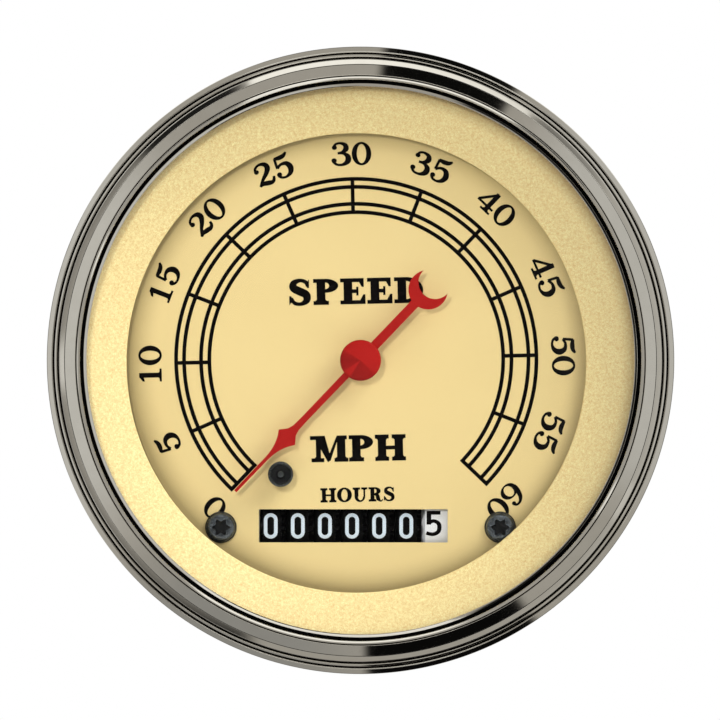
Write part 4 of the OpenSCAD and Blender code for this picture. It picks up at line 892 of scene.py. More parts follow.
def letter_shapes(letter, stem, thick, hair):
    """The shapes of a capital one unit high, and its width."""
    w, t, h = stem, thick, hair
    if letter == "H":
        ends = [(x, z, up) for x in (0.27, 0.89) for z, up in ((0, 1), (1, -1))]
        serifs = [s for x, z, up in ends for s in slab(x, z, 0.255, t, w, up)]
        return [post(0.27, w), post(0.89, w), bar_shape(0.27, 0.5 - h / 2, 0.89, 0.5 + h / 2), *serifs], 1.16
    if letter in "PR":
        bowl = 0.47 if letter == "P" else 0.44
        shapes = [post(0.29, w), *slab(0.29, 0, 0.275, t, w), bar_shape(0.015, 1 - t, 0.45, 1),
                  bar_shape(0.29, 0.46, 0.45, 0.46 + h),
                  oval_part(0.44, 0.73, bowl, 0.27, bowl - w * 1.05, 0.27 - h, -90, 90)]
        if letter == "P":
            return shapes, 0.93
        leg = brush((0.44, 0.49, h), (0.63, 0.42, w * 0.9), (0.7, 0.2, w), (0.83, 0.035, h),
                    (0.95, 0.05, h * 0.7), (1.01, 0.15, h * 0.5))
        return shapes + [leg], 1.03
    if letter == "E":
        return [post(0.29, w), bar_shape(0.015, 0, 0.88, t), bar_shape(0.015, 1 - t, 0.85, 1),
                bar_shape(0.29, 0.5 - h / 2, 0.62, 0.5 + h / 2), bar_shape(0.585, 0.33, 0.665, 0.67),
                [(0.86, 1), (0.86, 0.66), (0.785, 0.66), (0.69, 1 - t)],
                [(0.91, 0), (0.91, 0.37), (0.835, 0.37), (0.72, t), (0.8, 0)]], 0.93
    if letter == "D":
        return [post(0.29, w), bar_shape(0.015, 0, 0.46, t), bar_shape(0.015, 1 - t, 0.46, 1),
                oval_part(0.45, 0.5, 0.6, 0.5, 0.6 - w * 1.08, 0.5 - t, -90, 90)], 1.07
    if letter == "S":
        return [brush((0.7, 0.72, h * 0.8), (0.63, 0.89, h), (0.42, 0.955, h), (0.21, 0.86, w * 0.75),
                      (0.2, 0.67, w * 0.95), (0.42, 0.53, w), (0.64, 0.4, w * 0.95), (0.65, 0.18, w * 0.8),
                      (0.46, 0.05, h), (0.22, 0.09, h), (0.11, 0.28, h * 0.8)),
                [(0.75, 1.0), (0.75, 0.66), (0.68, 0.66), (0.6, 0.86), (0.68, 0.9)],
                [(0.035, 0.0), (0.035, 0.36), (0.105, 0.36), (0.2, 0.12), (0.1, 0.1)]], 0.85
    if letter == "M":
        return [bar_shape(0.225, 0, 0.225 + h * 1.25, 1), bar_shape(1.0, 0, 1.0 + w, 1),
                [(0.14, 1), (0.14 + w * 1.35, 1), (0.76, 0.19), (0.66, -0.01)],
                [(0.63, 0.1), (0.66, -0.01), (0.76, 0.06), (1.08, 0.99), (1.0, 1)],
                bar_shape(0.015, 1 - t, 0.35, 1), bar_shape(1.0, 1 - t, 1.37, 1),
                *slab(0.29, 0, 0.235, t, h), *slab(1.0 + w / 2, 0, 0.255, t, w)], 1.39
    if letter == "O":
        return oval(0.53, 0.5, 0.53, 0.515, 0.53 - w * 1.1, 0.515 - h), 1.06
    slide, half = (w - h) / 4, (w + h) / 4
    return [post(0.29, w, 0.36), post(0.85, h, 0.36),
            oval_part(0.57 - slide, 0.37, 0.28 + half, 0.39, 0.28 - half, 0.39 - h, 180, 360, slide),
            *slab(0.29, 1, 0.265, t, w, -1), *slab(0.85, 1, 0.22, t, h, -1)], 1.1


print("widths of the capitals:", {c: letter_shapes(c, 0.25, 0.11, 0.1)[1] for c in "SPEDMHOUR"})

# %% [markdown]
# Overlapping shapes have to become one clean sheet of ink. A constrained Delaunay triangulation cuts
# every shape against the others, and keeps the triangles that lie inside at least one. The sheet then
# gets a front, a back and side walls, so it is a closed solid like every other piece.

# %% From shapes to ink
def ink_sheet(shapes, slices=()):
    """Triangles that cover all the shapes. Slices are heights at which the triangles are also cut."""
    points, faces, cuts = [], [], []
    for shape in shapes:
        area = sum(a[0] * b[1] - b[0] * a[1] for a, b in zip(shape, shape[1:] + shape[:1]))
        faces.append(list(range(len(points), len(points) + len(shape))))
        points += list(shape) if area > 0 else list(reversed(shape))
    low, high = min(p[0] for p in points) - 0.1, max(p[0] for p in points) + 0.1
    for height in slices:
        cuts.append((len(points), len(points) + 1))
        points += [(low, height), (high, height)]
    done = delaunay_2d_cdt([Vector(p) for p in points], cuts, faces, 0, 1e-5)
    kept = [tuple(f) for f, source in zip(done[2], done[5]) if source]
    return [tuple(v) for v in done[0]], kept


def solid_ink(name, layers, place, finish_made):
    """A closed piece from sheets. Place turns (u, v) and a layer, 0 back or 1 front, into a point."""
    points, faces = [], []
    for flat, triangles in layers:
        used = sorted({i for t in triangles for i in t})
        index = {i: len(points) + k for k, i in enumerate(used)}
        count = len(used)
        points += [place(*flat[i], 0) for i in used] + [place(*flat[i], 1) for i in used]
        for t in triangles:
            faces.append([index[i] for i in reversed(t)])
            faces.append([index[i] + count for i in t])
        edges = dict.fromkeys(pair for t in triangles for pair in zip(t, t[1:] + t[:1]))
        for a, b in edges:
            if (b, a) not in edges:
                faces.append([index[a], index[b], index[b] + count, index[a] + count])
    return new_piece(name, points, faces, finish_made, sharp=30)


def moved(shapes, scale, turn, x, z):
    """Shapes made larger, turned, and then moved to a place."""
    c, s = math.cos(turn) * scale, math.sin(turn) * scale
    return [[(x + px * c - pz * s, z + px * s + pz * c) for px, pz in shape] for shape in shapes]


def between(back, front):
    """A place function for a flat piece between two depths."""
    return lambda u, v, layer: (u, front if layer else back, v)


dial_point = between(Y_DIAL + INK_SINK, Y_DIAL - INK_RISE)


print("triangles in one figure:", len(ink_sheet(FIGURES["3"][0])[1]))

# %% [markdown]
# Thirteen numbers stand round the scale with their heads outwards. Each is set from its figures, centred
# on its tick and turned with it. Type set by eye is never quite even, so some are nudged by a hair.

# %% Numbers round the scale
FIGURE_HEIGHT, FIGURE_RING, FIGURE_GAP, FIGURE_STRETCH = 3.4, 31.0, 0.055, 1.06
MILES_PER_TICK = 5
NUDGES = {0: (0.15, 0.0), 5: (0.1, -0.2), 15: (0.1, 0.3), 30: (-0.12, -0.12), 40: (-0.33, 0.36),
          45: (0.18, 0.0), 50: (0.15, -0.12), 55: (0.16, 0.24)}


def set_line(glyphs, gap, stretch):
    """Glyphs side by side, stretched sideways and centred on the origin, as one list of shapes."""
    width = stretch * sum(g[1] for g in glyphs) + gap * (len(glyphs) - 1)
    shapes, x = [], -width / 2
    for outline, advance in glyphs:
        shapes += [[(x + px * stretch, pz - 0.5) for px, pz in shape] for shape in outline]
        x += advance * stretch + gap
    return shapes, width


number_sheets = []
for step in range(TICKS):
    where = FIRST_TICK + (TICKS - 1 - step) * TICK_STEP
    value = step * MILES_PER_TICK
    nudge = NUDGES.get(value, (0.0, 0.0))
    shapes, _ = set_line([FIGURES[c] for c in str(value)], FIGURE_GAP, FIGURE_STRETCH)
    x = PRINT_CENTRE[0] + FIGURE_RING * math.cos(where) + nudge[0]
    z = PRINT_CENTRE[1] + FIGURE_RING * math.sin(where) + nudge[1]
    number_sheets.append(ink_sheet(moved(shapes, FIGURE_HEIGHT, where - math.pi / 2, x, z)))
numbers = solid_ink("scale_numbers", number_sheets, dial_point, FINISHES["ink_black"])
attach(numbers, "housing")
print("numbers:", len(number_sheets), "faces:", len(numbers.data.polygons))

# %% [markdown]
# Three generic words name the scale, its unit and the counter. They are set on the same tilt as the
# rest of the print.

# %% Words on the dial
HEAVY, LIGHT = (0.31, 0.15, 0.145), (0.28, 0.145, 0.125)  # widths of stem, serif and hairline
LETTER_GAP = 0.035
WORDS = [  # word, height, width, place (x, z), weight
    ("SPEED", 3.9, 20.4, -0.69, 10.41, HEAVY), ("MPH", 3.95, 14.5, -0.38, -13.22, HEAVY),
    ("HOURS", 2.15, 11.3, -0.42, -20.2, LIGHT)]
word_sheets = []
for word, height, wide, x, z, weight in WORDS:
    glyphs = [letter_shapes(c, *weight) for c in word]
    stretch = (wide / height - LETTER_GAP * (len(glyphs) - 1)) / sum(g[1] for g in glyphs)
    shapes, width = set_line(glyphs, LETTER_GAP, stretch)
    word_sheets.append(ink_sheet(moved(shapes, height, PRINT_TILT, x, z)))
    print(word, "stretch:", round(stretch, 3), "width in mm:", round(width * height, 2))
words = solid_ink("dial_words", word_sheets, dial_point, FINISHES["ink_black"])
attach(words, "housing")

# %% [markdown]
# The counter's drums carry plain rounded figures, white on the six black drums and black on the white
# one. These are printed on a curved rim, so each sheet is cut into narrow slices before it is wrapped,
# or its triangles would cut through the drum.

# %% Figures of the counter
PEN = 0.14


def pen(*places):
    """A brush stroke of even width."""
    return brush(*[(x, z, PEN) for x, z in places])


DRUM_FIGURES = {
    "0": [oval(0.27, 0.73, 0.27, 0.27, 0.27 - PEN, 0.27 - PEN)[0],
          oval(0.27, 0.27, 0.27, 0.27, 0.27 - PEN, 0.27 - PEN)[1],
          bar_shape(0, 0.27, PEN, 0.73), bar_shape(0.54 - PEN, 0.27, 0.54, 0.73)],
    "1": [bar_shape(0.22, 0, 0.38, 1), [(0.24, 1.0), (0.06, 0.84), (0.06, 0.68), (0.24, 0.8)]],
    "2": [pen((0.08, 0.7), (0.12, 0.87), (0.28, 0.92), (0.43, 0.84), (0.43, 0.64), (0.28, 0.4), (0.1, 0.1)),
          bar_shape(0.0, 0, 0.54, PEN)],
    "3": [pen((0.06, 0.86), (0.26, 0.92), (0.44, 0.83), (0.4, 0.61), (0.2, 0.53)),
          pen((0.2, 0.53), (0.42, 0.46), (0.45, 0.22), (0.27, 0.08), (0.05, 0.14))],
    "4": [bar_shape(0.32, 0, 0.48, 1), pen((0.38, 0.95), (0.22, 0.6), (0.08, 0.3)),
          bar_shape(0.0, 0.2, 0.56, 0.35)],
    "5": [bar_shape(0.06, 0.85, 0.5, 1), bar_shape(0.05, 0.46, 0.2, 1),
          pen((0.1, 0.52), (0.28, 0.6), (0.45, 0.48), (0.44, 0.2), (0.26, 0.08), (0.04, 0.13))],
    "6": [*oval(0.27, 0.3, 0.27, 0.3, 0.11, 0.15),
          pen((0.44, 0.92), (0.24, 0.84), (0.1, 0.58), (0.08, 0.32))],
    "7": [bar_shape(0.0, 0.85, 0.54, 1), pen((0.47, 0.92), (0.3, 0.5), (0.18, 0.02))],
    "8": [*oval(0.27, 0.27, 0.27, 0.27, 0.11, 0.13), *oval(0.27, 0.74, 0.25, 0.26, 0.1, 0.125)],
    "9": [*oval(0.27, 0.7, 0.27, 0.3, 0.11, 0.15),
          pen((0.1, 0.08), (0.3, 0.16), (0.44, 0.42), (0.46, 0.68))],
}
print("drum figures:", "".join(DRUM_FIGURES))

# %% [markdown]
# A drum moves on by a tenth of a turn for each figure, and its front face rolls upwards, so the next
# figure waits below the one in the window. The white drum stands a little past its 5, as drums on a
# running counter do.

# %% Wrap the figures round the drums
DRUM_AXIS = (11.7, -24.9)
DRUM_RADIUS, DRUM_FIGURE_HEIGHT, DRUM_RISE, DRUM_SINK = 8.0, 3.85, 0.03, 0.02
DRUM_PITCH, MIDDLE_DRUM_X, FIGURE_SHIFT = 4.08, -1.1, -0.18
SLICES = np.arange(-0.45, 0.5, 0.1)
PLACES = ["tenths", "units", "tens", "hundreds", "thousands", "ten_thousands", "hundred_thousands"]


def drum_point(x, angle, layer):
    """A point of the ink: its front stands proud of the rim, its back is sunk a hair."""
    reach = DRUM_RADIUS - DRUM_SINK + layer * (DRUM_RISE + DRUM_SINK)
    return (x, DRUM_AXIS[0] - reach * math.cos(angle), DRUM_AXIS[1] + reach * math.sin(angle))


for k, place_name in enumerate(PLACES):
    middle_x = MIDDLE_DRUM_X + (3 - k) * DRUM_PITCH + FIGURE_SHIFT
    shown, past, broad, ink = (5, 0.33, 1.2, "ink_black") if k == 0 else (0, -0.03, 1.0, "figure_white")
    sheets = []
    for figure in range(10):
        centred = [[(x - 0.27, z - 0.5) for x, z in shape] for shape in DRUM_FIGURES[str(figure)]]
        flat, triangles = ink_sheet(centred, SLICES)
        roll = -(figure - shown) * math.radians(36) + past / DRUM_RADIUS
        wrapped = [(middle_x + u * broad * DRUM_FIGURE_HEIGHT, v * DRUM_FIGURE_HEIGHT / DRUM_RADIUS + roll)
                   for u, v in flat]
        sheets.append((wrapped, triangles))
    figures = solid_ink(f"{place_name}_figures", sheets, drum_point, FINISHES[ink])
    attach(figures, f"{place_name}_drum")
print("drums printed:", len(PLACES))

# %% [markdown]
# The pointer is a flat red blade with a spade near its tip and a crescent for a counterweight, capped
# by a red disc. Its outline is the union of three shapes, so the ink helper makes it too, only thicker.

# %% Pointer
POINTER_REST = math.radians(226.25)
BLADE_FRONT, BLADE_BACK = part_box("pointer")[0].y / MM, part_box("pointer")[1].y / MM
HUB_R, SPADE_AT, POINTER_LEN = 3.08, 16.0, 27.2
CRESCENT_AT, CRESCENT_R, BITE_AT, BITE_R = -14.68, 2.97, -16.195, 2.495


def flank(reach):
    """Half the blade's width from the spade's widest place to the tip."""
    part = min(1.0, (reach - SPADE_AT) / 5)
    return 0.26 + 0.04 * (1 - part) + 1.39 * (1 - part) ** 2.7


edge = [(-13.2, 0.7), (-1.54, 0.7), (1.54, 0.52), (12.0, 0.49), (14.0, 0.54), (14.9, 0.8)]
edge += [(SPADE_AT + i * 0.25, flank(SPADE_AT + i * 0.25)) for i in range(21)] + [(POINTER_LEN, 0.24)]
blade = edge + [(u, -v) for u, v in reversed(edge)]
apart = CRESCENT_AT - BITE_AT
meet = math.acos((apart ** 2 + CRESCENT_R ** 2 - BITE_R ** 2) / (2 * apart * CRESCENT_R))
bite = math.atan2(CRESCENT_R * math.sin(meet), apart - CRESCENT_R * math.cos(meet))
outer = [(CRESCENT_AT - CRESCENT_R * math.cos(a), CRESCENT_R * math.sin(a))
         for a in np.linspace(meet, 2 * math.pi - meet, 60)]
inner = [(BITE_AT + BITE_R * math.cos(a), BITE_R * math.sin(a)) for a in np.linspace(-bite, bite, 40)]
hub = ball_shape(0, 0, HUB_R - 0.1, 72)
pointer_sheet = ink_sheet(moved([blade, outer + inner, hub], 1.0, POINTER_REST, 0.0, 0.0))
pointer = solid_ink("pointer_blade", [pointer_sheet], between(BLADE_BACK, BLADE_FRONT),
                    FINISHES["pointer_red"])
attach(pointer, "pointer_arbor")
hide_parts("pointer")
print("pointer faces:", len(pointer.data.polygons))

# %% [markdown]
# A few soft fans of darker red are painted on the hub disc: a painted sheen, standing in for the turned
# look that light shows on it. The angle round the axis picks the fans, through a colour ramp. It reads
# Object coordinates, so the fans sweep round with the pointer.

# %% Hub cap
PAINTED_SHEEN_FANS = [(0.0, 0.62), (0.08, 0.7), (0.1, 1.0), (0.15, 1.0), (0.17, 0.64), (0.36, 0.74), (0.4, 1.0), (0.9, 1.0),
        (0.93, 0.72), (1.0, 0.62)]
tree = FINISHES["hub_red"].node_tree
x, y, z = axes_of(tree, object_place(tree))
share = maths(tree, "MULTIPLY_ADD", maths(tree, "ARCTAN2", z, x), 0.5 / math.pi, 0.5)
sheen_fan = add_node(tree, "ShaderNodeValToRGB", {0: share})
stops = sheen_fan.color_ramp.elements
for at, grey in PAINTED_SHEEN_FANS:
    stop = stops[0] if at == 0.0 else stops[-1] if at == 1.0 else stops.new(at)
    stop.color = (grey, grey, grey, 1)
# the painted sheen multiplies the hub's red
lay_over(FINISHES["hub_red"], 1.0, sheen_fan.outputs[0], "MULTIPLY")
cap_front, cap_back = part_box("pointer_cap")[0].y / MM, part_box("pointer_cap")[1].y / MM
cap = turned("pointer_hub", rounded([
    (0, cap_front, 0), (HUB_R, cap_front, 0.35), (HUB_R, cap_back, 0.1), (0, cap_back, 0)]),
    FINISHES["hub_red"], steps=96)
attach(cap, "pointer_arbor")
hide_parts("pointer_cap")
print("hub from", round(cap_front, 2), "to", round(cap_back, 2))

# %% [markdown]
# Two black pan-head screws hold the dial. Their heads have a rounded rim and a six-lobed recess. The
# head is a stack of rings: the inner ones follow the lobes, the outer ones are circles, and the ring
# between blends the two.

# %% Shape of a dial screw
HEAD_RADIUS, RECESS_DEPTH, SHANK_DEPTH = 2.37, 0.75, 6.0
LOBES, LOBE_MIDDLE, LOBE_SWING = 6, 1.06, 0.2
HEAD_RINGS = [  # radius, share of the lobes in it, depth behind the front
    (0.8, 1.0, 0.75), (0.96, 1.0, 0.72), (1.0, 1.0, 0.2), (1.06, 1.0, 0.06), (1.4, 0.4, 0.0),
    (1.58, 0.0, 0.03), (1.76, 0.0, 0.1), (1.92, 0.0, 0.2), (2.06, 0.0, 0.34), (2.16, 0.0, 0.52),
    (2.2, 0.0, 0.66), (2.3, 0.0, 0.7), (2.37, 0.0, 0.8), (2.37, 0.0, 1.3), (1.5, 0.0, 1.3), (1.5, 0.0, 6.0)]


def screw_points(x, z, front, steps=96):
    """Points and faces of one screw with its front at a depth."""
    points, faces = [(x, front + RECESS_DEPTH, z)], []
    for radius, lobed, deep in HEAD_RINGS:
        for k in range(steps):
            a = 2 * math.pi * k / steps
            lobe = LOBE_MIDDLE + LOBE_SWING * math.cos(LOBES * a)
            r = radius * lobe if lobed == 1.0 else radius + lobed * 0.5 * (lobe - LOBE_MIDDLE)
            points.append((x + r * math.cos(a), front + deep, z + r * math.sin(a)))
    points.append((x, front + SHANK_DEPTH, z))
    for k in range(steps):
        ahead = (k + 1) % steps
        faces.append((0, 1 + k, 1 + ahead))
        for ring in range(len(HEAD_RINGS) - 1):
            a, b = 1 + ring * steps, 1 + (ring + 1) * steps
            faces.append((a + k, b + k, b + ahead, a + ahead))
        last = 1 + (len(HEAD_RINGS) - 1) * steps
        faces.append((last + k, len(points) - 1, last + ahead))
    return points, faces


print("rings of a screw:", len(HEAD_RINGS))

# %% [markdown]
# Both screws are one piece, because they share one node of the frame. Their recesses, and a fine groove
# round each head, get a black that is painted shade.

# %% Dial screws
screw_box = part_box("dial_screws")
head_x = (screw_box[1].x - screw_box[0].x) / MM / 2 - HEAD_RADIUS
head_z = (screw_box[1].z + screw_box[0].z) / MM / 2
head_front = screw_box[0].y / MM


def in_shade(x, y, z):
    """True in the recess and in the fine groove round the head."""
    reach, deep = math.hypot(abs(x) - head_x, z - head_z), y - head_front
    return (reach < 1.33 and 0.08 < deep < 2) or (2.17 < reach < 2.3 and deep < 0.72)


both_screws = joined([screw_points(side * head_x, head_z, head_front) for side in (-1, 1)])
screws = new_piece("dial_screw_heads", *both_screws, FINISHES["screw_black"], sharp=40)
second_finish(screws, FINISHES["recess_painted_shade"], in_shade)
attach(screws, "housing")
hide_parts("dial_screws")
print("screws at x", round(head_x, 2), "z", round(head_z, 2))

# %% [markdown]
# The stop pin keeps the pointer from falling past zero. It is a black turned pin with a dished face
# and a small dome in the middle.

# %% Stop pin
pin_lo, pin_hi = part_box("stop_pin")
pin_at = ((pin_lo.x + pin_hi.x) / 2 / MM, (pin_lo.z + pin_hi.z) / 2 / MM)
pin_front, pin_back = pin_lo.y / MM, pin_hi.y / MM
pin = turned("stop_pin_turned", rounded([
    (0, pin_front, 0), (0.42, pin_front + 0.05, 0.12), (0.72, pin_front + 0.42, 0.1),
    (1.35, pin_front + 0.3, 0.15), (1.6, pin_front, 0.12), (1.9, pin_front + 0.12, 0.15), (1.9, Y_DIAL, 0),
    (1.2, Y_DIAL, 0), (1.2, pin_back, 0.1), (0, pin_back, 0)]), FINISHES["stop_black"], at=pin_at, steps=96)


def in_dish(x, y, z):
    return 0.5 < math.hypot(x - pin_at[0], z - pin_at[1]) < 1.42 and y < 0


# painted shade: the dish gets a darker black
second_finish(pin, FINISHES["recess_painted_shade"], in_dish)
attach(pin, "housing")
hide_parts("stop_pin")
print("stop pin at", [round(v, 2) for v in pin_at])

# %% [markdown]
# Behind the case stand threaded parts: the nose that takes the cable's union nut, and two mounting
# studs. A thread follows a helix, so one tree sweeps a small ridge along a spiral. The cores under the
# ridges are turned to the root of the thread.

# %% Threads
thread_tree, given = new_tree("thread", [
    ("Radius", FLOAT), ("Depth", FLOAT), ("Turns", FLOAT), ("Length", FLOAT), ("Start", VECTOR)])
helix = add_node(thread_tree, "GeometryNodeCurveSpiral", {
    "Resolution": 48, "Rotations": given["Turns"], "Start Radius": given["Radius"],
    "End Radius": given["Radius"], "Height": given["Length"]})
wound = swept(thread_tree, helix.outputs[0], circle_curve(thread_tree, 4, given["Depth"]))
laid = placed(thread_tree, wound, given["Start"], (-math.pi / 2, 0, 0))
end_tree(thread_tree, laid, FINISHES["nose_brass"])


def thread(name, radius, depth, pitch, start, length, at, finish_made):
    """A thread of some outer radius along Y, its ridge laid round a line through the place (x, z)."""
    piece = grown(name, thread_tree, {
        "Radius": (radius - depth) * MM, "Depth": depth * MM, "Turns": length / pitch, "Length": length * MM,
        "Start": (at[0] * MM, start * MM, at[1] * MM)})
    piece.data.materials.clear()
    piece.data.materials.append(finish_made)
    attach(piece, "housing")
    return piece


nose_thread = thread("nose_thread", 7.9, 0.55, 1.4, 48.6, 10.2, (0, 0), FINISHES["nose_brass"])
print("thread faces:", len(nose_thread.data.polygons))

# %% [markdown]
# The nose and the studs are turned, each with flanges that grip the rear wall. Their cores are thinner
# where the ridges of the threads lie on them. The two studs are joined to one piece.

# %% Nose and studs under the threads
STUD_X = 30
nose = turned("nose_turned", rounded([
    (4.47, 41.0, 0), (6.7, 41.0, 0.1), (6.7, 45.0, 0), (8.5, 45.0, 0), (8.5, 46.0, 0.1), (7.9, 46.0, 0),
    (7.9, 47.6, 0.15), (7.25, 48.2, 0.1), (7.25, 59.4, 0.3), (6.7, 60.0, 0.15), (4.8, 60.0, 0.25),
    (4.8, 52.0, 0), (4.47, 52.0, 0)]), FINISHES["nose_brass"], steps=128)
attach(nose, "housing")
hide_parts("drive_nose")
stud_outline = rounded([
    (0, 43.6, 0), (4.5, 43.6, 0.2), (4.5, 45.0, 0.1), (2.4, 45.0, 0), (2.4, 46.0, 0), (4.5, 46.0, 0.1),
    (4.5, 48.0, 0.25), (2.4, 48.0, 0.1), (2.4, 48.8, 0.1), (2.06, 49.1, 0.05), (2.06, 65.3, 0.1),
    (1.6, 66.0, 0.2), (0, 66.0, 0)])
stud_parts = []
for side, word in ((-1, "left"), (1, "right")):
    stud = turned("stud_side", stud_outline, FINISHES["stud_zinc"], at=(side * STUD_X, 0), steps=72)
    stud_parts.append(mesh_data(stud.data, MM))
    bpy.data.objects.remove(stud, do_unlink=True)
    thread(f"stud_thread_{word}", 2.4, 0.3, 0.8, 49.2, 15.8, (side * STUD_X, 0), FINISHES["stud_zinc"])
studs = new_piece("studs_turned", *joined(stud_parts), FINISHES["stud_zinc"])
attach(studs, "housing")
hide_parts("mounting_studs")
print("studs at x =", -STUD_X, "and", STUD_X)

# %% [markdown]
# Three slotted screws hold the movement in the case. A screw repeats, so only one is drawn: two
# half-moons on a disc and a shank, with a Bevel modifier that softens their edges.

# %% One slotted screw
screw_lo, screw_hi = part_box("case_screws")
HEAD_SEAT, HEAD_TOP = case_box[1].y / MM, screw_hi.y / MM
HEAD_R, SHANK_R, SLOT_HALF, OVERLAP = 2.7, 1.5, 0.375, 0.02
SLOT_FLOOR = (HEAD_SEAT + HEAD_TOP) / 2


def half_moon(side):
    """The part of the head on one side of its slot."""
    start = math.asin(SLOT_HALF / HEAD_R)
    angles = np.linspace(start, math.pi - start, 40)
    return [(HEAD_R * math.cos(a), side * HEAD_R * math.sin(a)) for a in angles]


layers = [
    (ball_shape(0, 0, SHANK_R, 40), screw_lo.y / MM, HEAD_SEAT + OVERLAP),
    (ball_shape(0, 0, HEAD_R, 80), HEAD_SEAT, SLOT_FLOOR),
    (half_moon(1), SLOT_FLOOR - OVERLAP, HEAD_TOP), (half_moon(-1), SLOT_FLOOR - OVERLAP, HEAD_TOP)]
screw_parts = []
for shape, low, high in layers:
    part = solid_ink("screw_part", [ink_sheet([shape])], between(low, high), FINISHES["steel"])
    soft = part.modifiers.new("soft_edges", "BEVEL")
    soft.width, soft.segments = 0.14 * MM, 3
    soft.limit_method, soft.angle_limit = "ANGLE", math.radians(50)
    screw_parts.append(mesh_data(plain_mesh(part)))
    bpy.data.objects.remove(part, do_unlink=True)
one_screw_points, one_screw_faces = joined(screw_parts)
print("faces of one screw:", len(one_screw_faces))

# %% [markdown]
# A tree sets the screw on points round the spindle axis. It takes the screw as geometry, so any other head
# could be put in. The floor of each slot gets a black that is painted shade.

# %% Screws on the rear wall
ring_tree, given = new_tree("screws_on_ring", [
    ("Screw", "NodeSocketGeometry"), ("Count", INT), ("Ring", FLOAT), ("First Angle", FLOAT)])
angle_step = maths(ring_tree, "DIVIDE", 2 * math.pi, given["Count"])
angle = maths(ring_tree, "MULTIPLY_ADD", point_number(ring_tree), angle_step, given["First Angle"])
slot_turn = add_node(ring_tree, "ShaderNodeCombineXYZ", {1: maths(ring_tree, "MULTIPLY", angle, 1.7)})
set_screws = on_points(ring_tree, given["Count"], on_circle(ring_tree, given["Ring"], angle), given["Screw"],
                       slot_turn.outputs[0])
end_tree(ring_tree, set_screws, FINISHES["steel"])
rear_screws = grown("case_screw_heads", ring_tree, {
    "Count": 3, "Ring": 15.0 * MM, "First Angle": math.pi / 2}, one_screw_points, (), one_screw_faces)
rear_screws.data.materials.clear()
for name in ("steel", "recess_painted_shade"):
    rear_screws.data.materials.append(FINISHES[name])
for face in rear_screws.data.polygons:
    # painted shade on the floor of each slot
    face.material_index = int(face.normal.y > 0.5 and face.center.y / MM < SLOT_FLOOR + 0.05)
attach(rear_screws, "housing")
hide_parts("case_screws")
print("rear screw faces:", len(rear_screws.data.polygons))

# %% [markdown]
# The lamp holders twist into the rear wall, and ribs round their bodies give fingers a grip. Ribs
# repeat round a circle: a tree sets points on the circle and puts one rounded bar on each.

# %% Ribs of the lamp holders
LAMP_R = 7.5
rib_tree, given = new_tree("grip_ribs", [
    ("Count", INT), ("Radius", FLOAT), ("Thickness", FLOAT), ("Length", FLOAT), ("Start", VECTOR)])
angle_step = maths(rib_tree, "DIVIDE", 2 * math.pi, given["Count"])
angle = maths(rib_tree, "MULTIPLY", point_number(rib_tree), angle_step)
half_way = maths(rib_tree, "MULTIPLY", given["Length"], 0.5)
spot = shifted(rib_tree, on_circle(rib_tree, given["Radius"], angle, half_way), given["Start"])
bar = add_node(rib_tree, "GeometryNodeMeshCylinder", {
    "Vertices": 12, "Radius": given["Thickness"], "Depth": given["Length"]})
ribs = on_points(rib_tree, given["Count"], spot, bar.outputs[0], (math.pi / 2, 0, 0))
end_tree(rib_tree, ribs, FINISHES["lamp_black"])
lamp_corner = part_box("lamp_sockets")[1]
lamp_x, lamp_z = lamp_corner.x - LAMP_R * MM, lamp_corner.z - LAMP_R * MM
for side, word in ((-1, "left"), (1, "right")):
    grip = grown(f"lamp_grip_{word}", rib_tree, {
        "Count": 20, "Radius": 5.4 * MM, "Thickness": 0.34 * MM, "Length": 4.6 * MM,
        "Start": (side * lamp_x, 47.2 * MM, lamp_z)})
    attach(grip, "housing")
print("lamp holders at x", round(lamp_x / MM, 2), "z", round(lamp_z / MM, 2))

# %% [markdown]
# Two insulated leads run from the counter's motor to the terminals. A wire follows a path, so a tree
# makes it: the route's points become a curve, Fillet Curve bends its corners, and a circle is swept
# along it. Here the tree gets its route as geometry, a mesh of edges.

# %% Motor leads
lead_tree, given = new_tree("bent_wire", [
    ("Route", "NodeSocketGeometry"), ("Bend", FLOAT), ("Radius", FLOAT)])
path = add_node(lead_tree, "GeometryNodeMeshToCurve", {"Mesh": given["Route"]})
bent = add_node(lead_tree, "GeometryNodeFilletCurve", {
    "Curve": path.outputs[0], "Count": 6, "Radius": given["Bend"], "Limit Radius": True}, mode="POLY")
sheath = swept(lead_tree, bent.outputs[0], circle_curve(lead_tree, 14, given["Radius"]))
end_tree(lead_tree, sheath, FINISHES["lead_red"])
LEAD_ROUTES = [
    [(-9.43, 29.43, -28.15), (-13.53, 29.43, -28.15), (-13.53, 44.0, -30.05), (-4.5, 44.0, -30.05)],
    [(-9.43, 32.63, -28.15), (-11.93, 32.63, -28.15), (-11.93, 44.0, -26.75), (0.9, 44.0, -26.75),
     (2.1, 44.0, -27.95), (4.5, 44.0, -27.95)]]
route_points, route_edges = joined([
    ([(x * MM, y * MM, z * MM) for x, y, z in route], [(i, i + 1) for i in range(len(route) - 1)])
    for route in LEAD_ROUTES])
leads = grown("motor_lead_wires", lead_tree, {
    "Bend": 0.9 * MM, "Radius": 0.58 * MM}, route_points, route_edges)
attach(leads, "housing")
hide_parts("motor_leads")
print("lead faces:", len(leads.data.polygons))

# %% [markdown]
# A pale floor lies well below the object, as under a cut-out product picture. It is clear from below, by
# Backfacing, so that the object can be looked at from there too. The world is white for the camera and
# for what metal and glass show, and a softer grey where it lights paint, so the background is white
# without bleaching the dial.

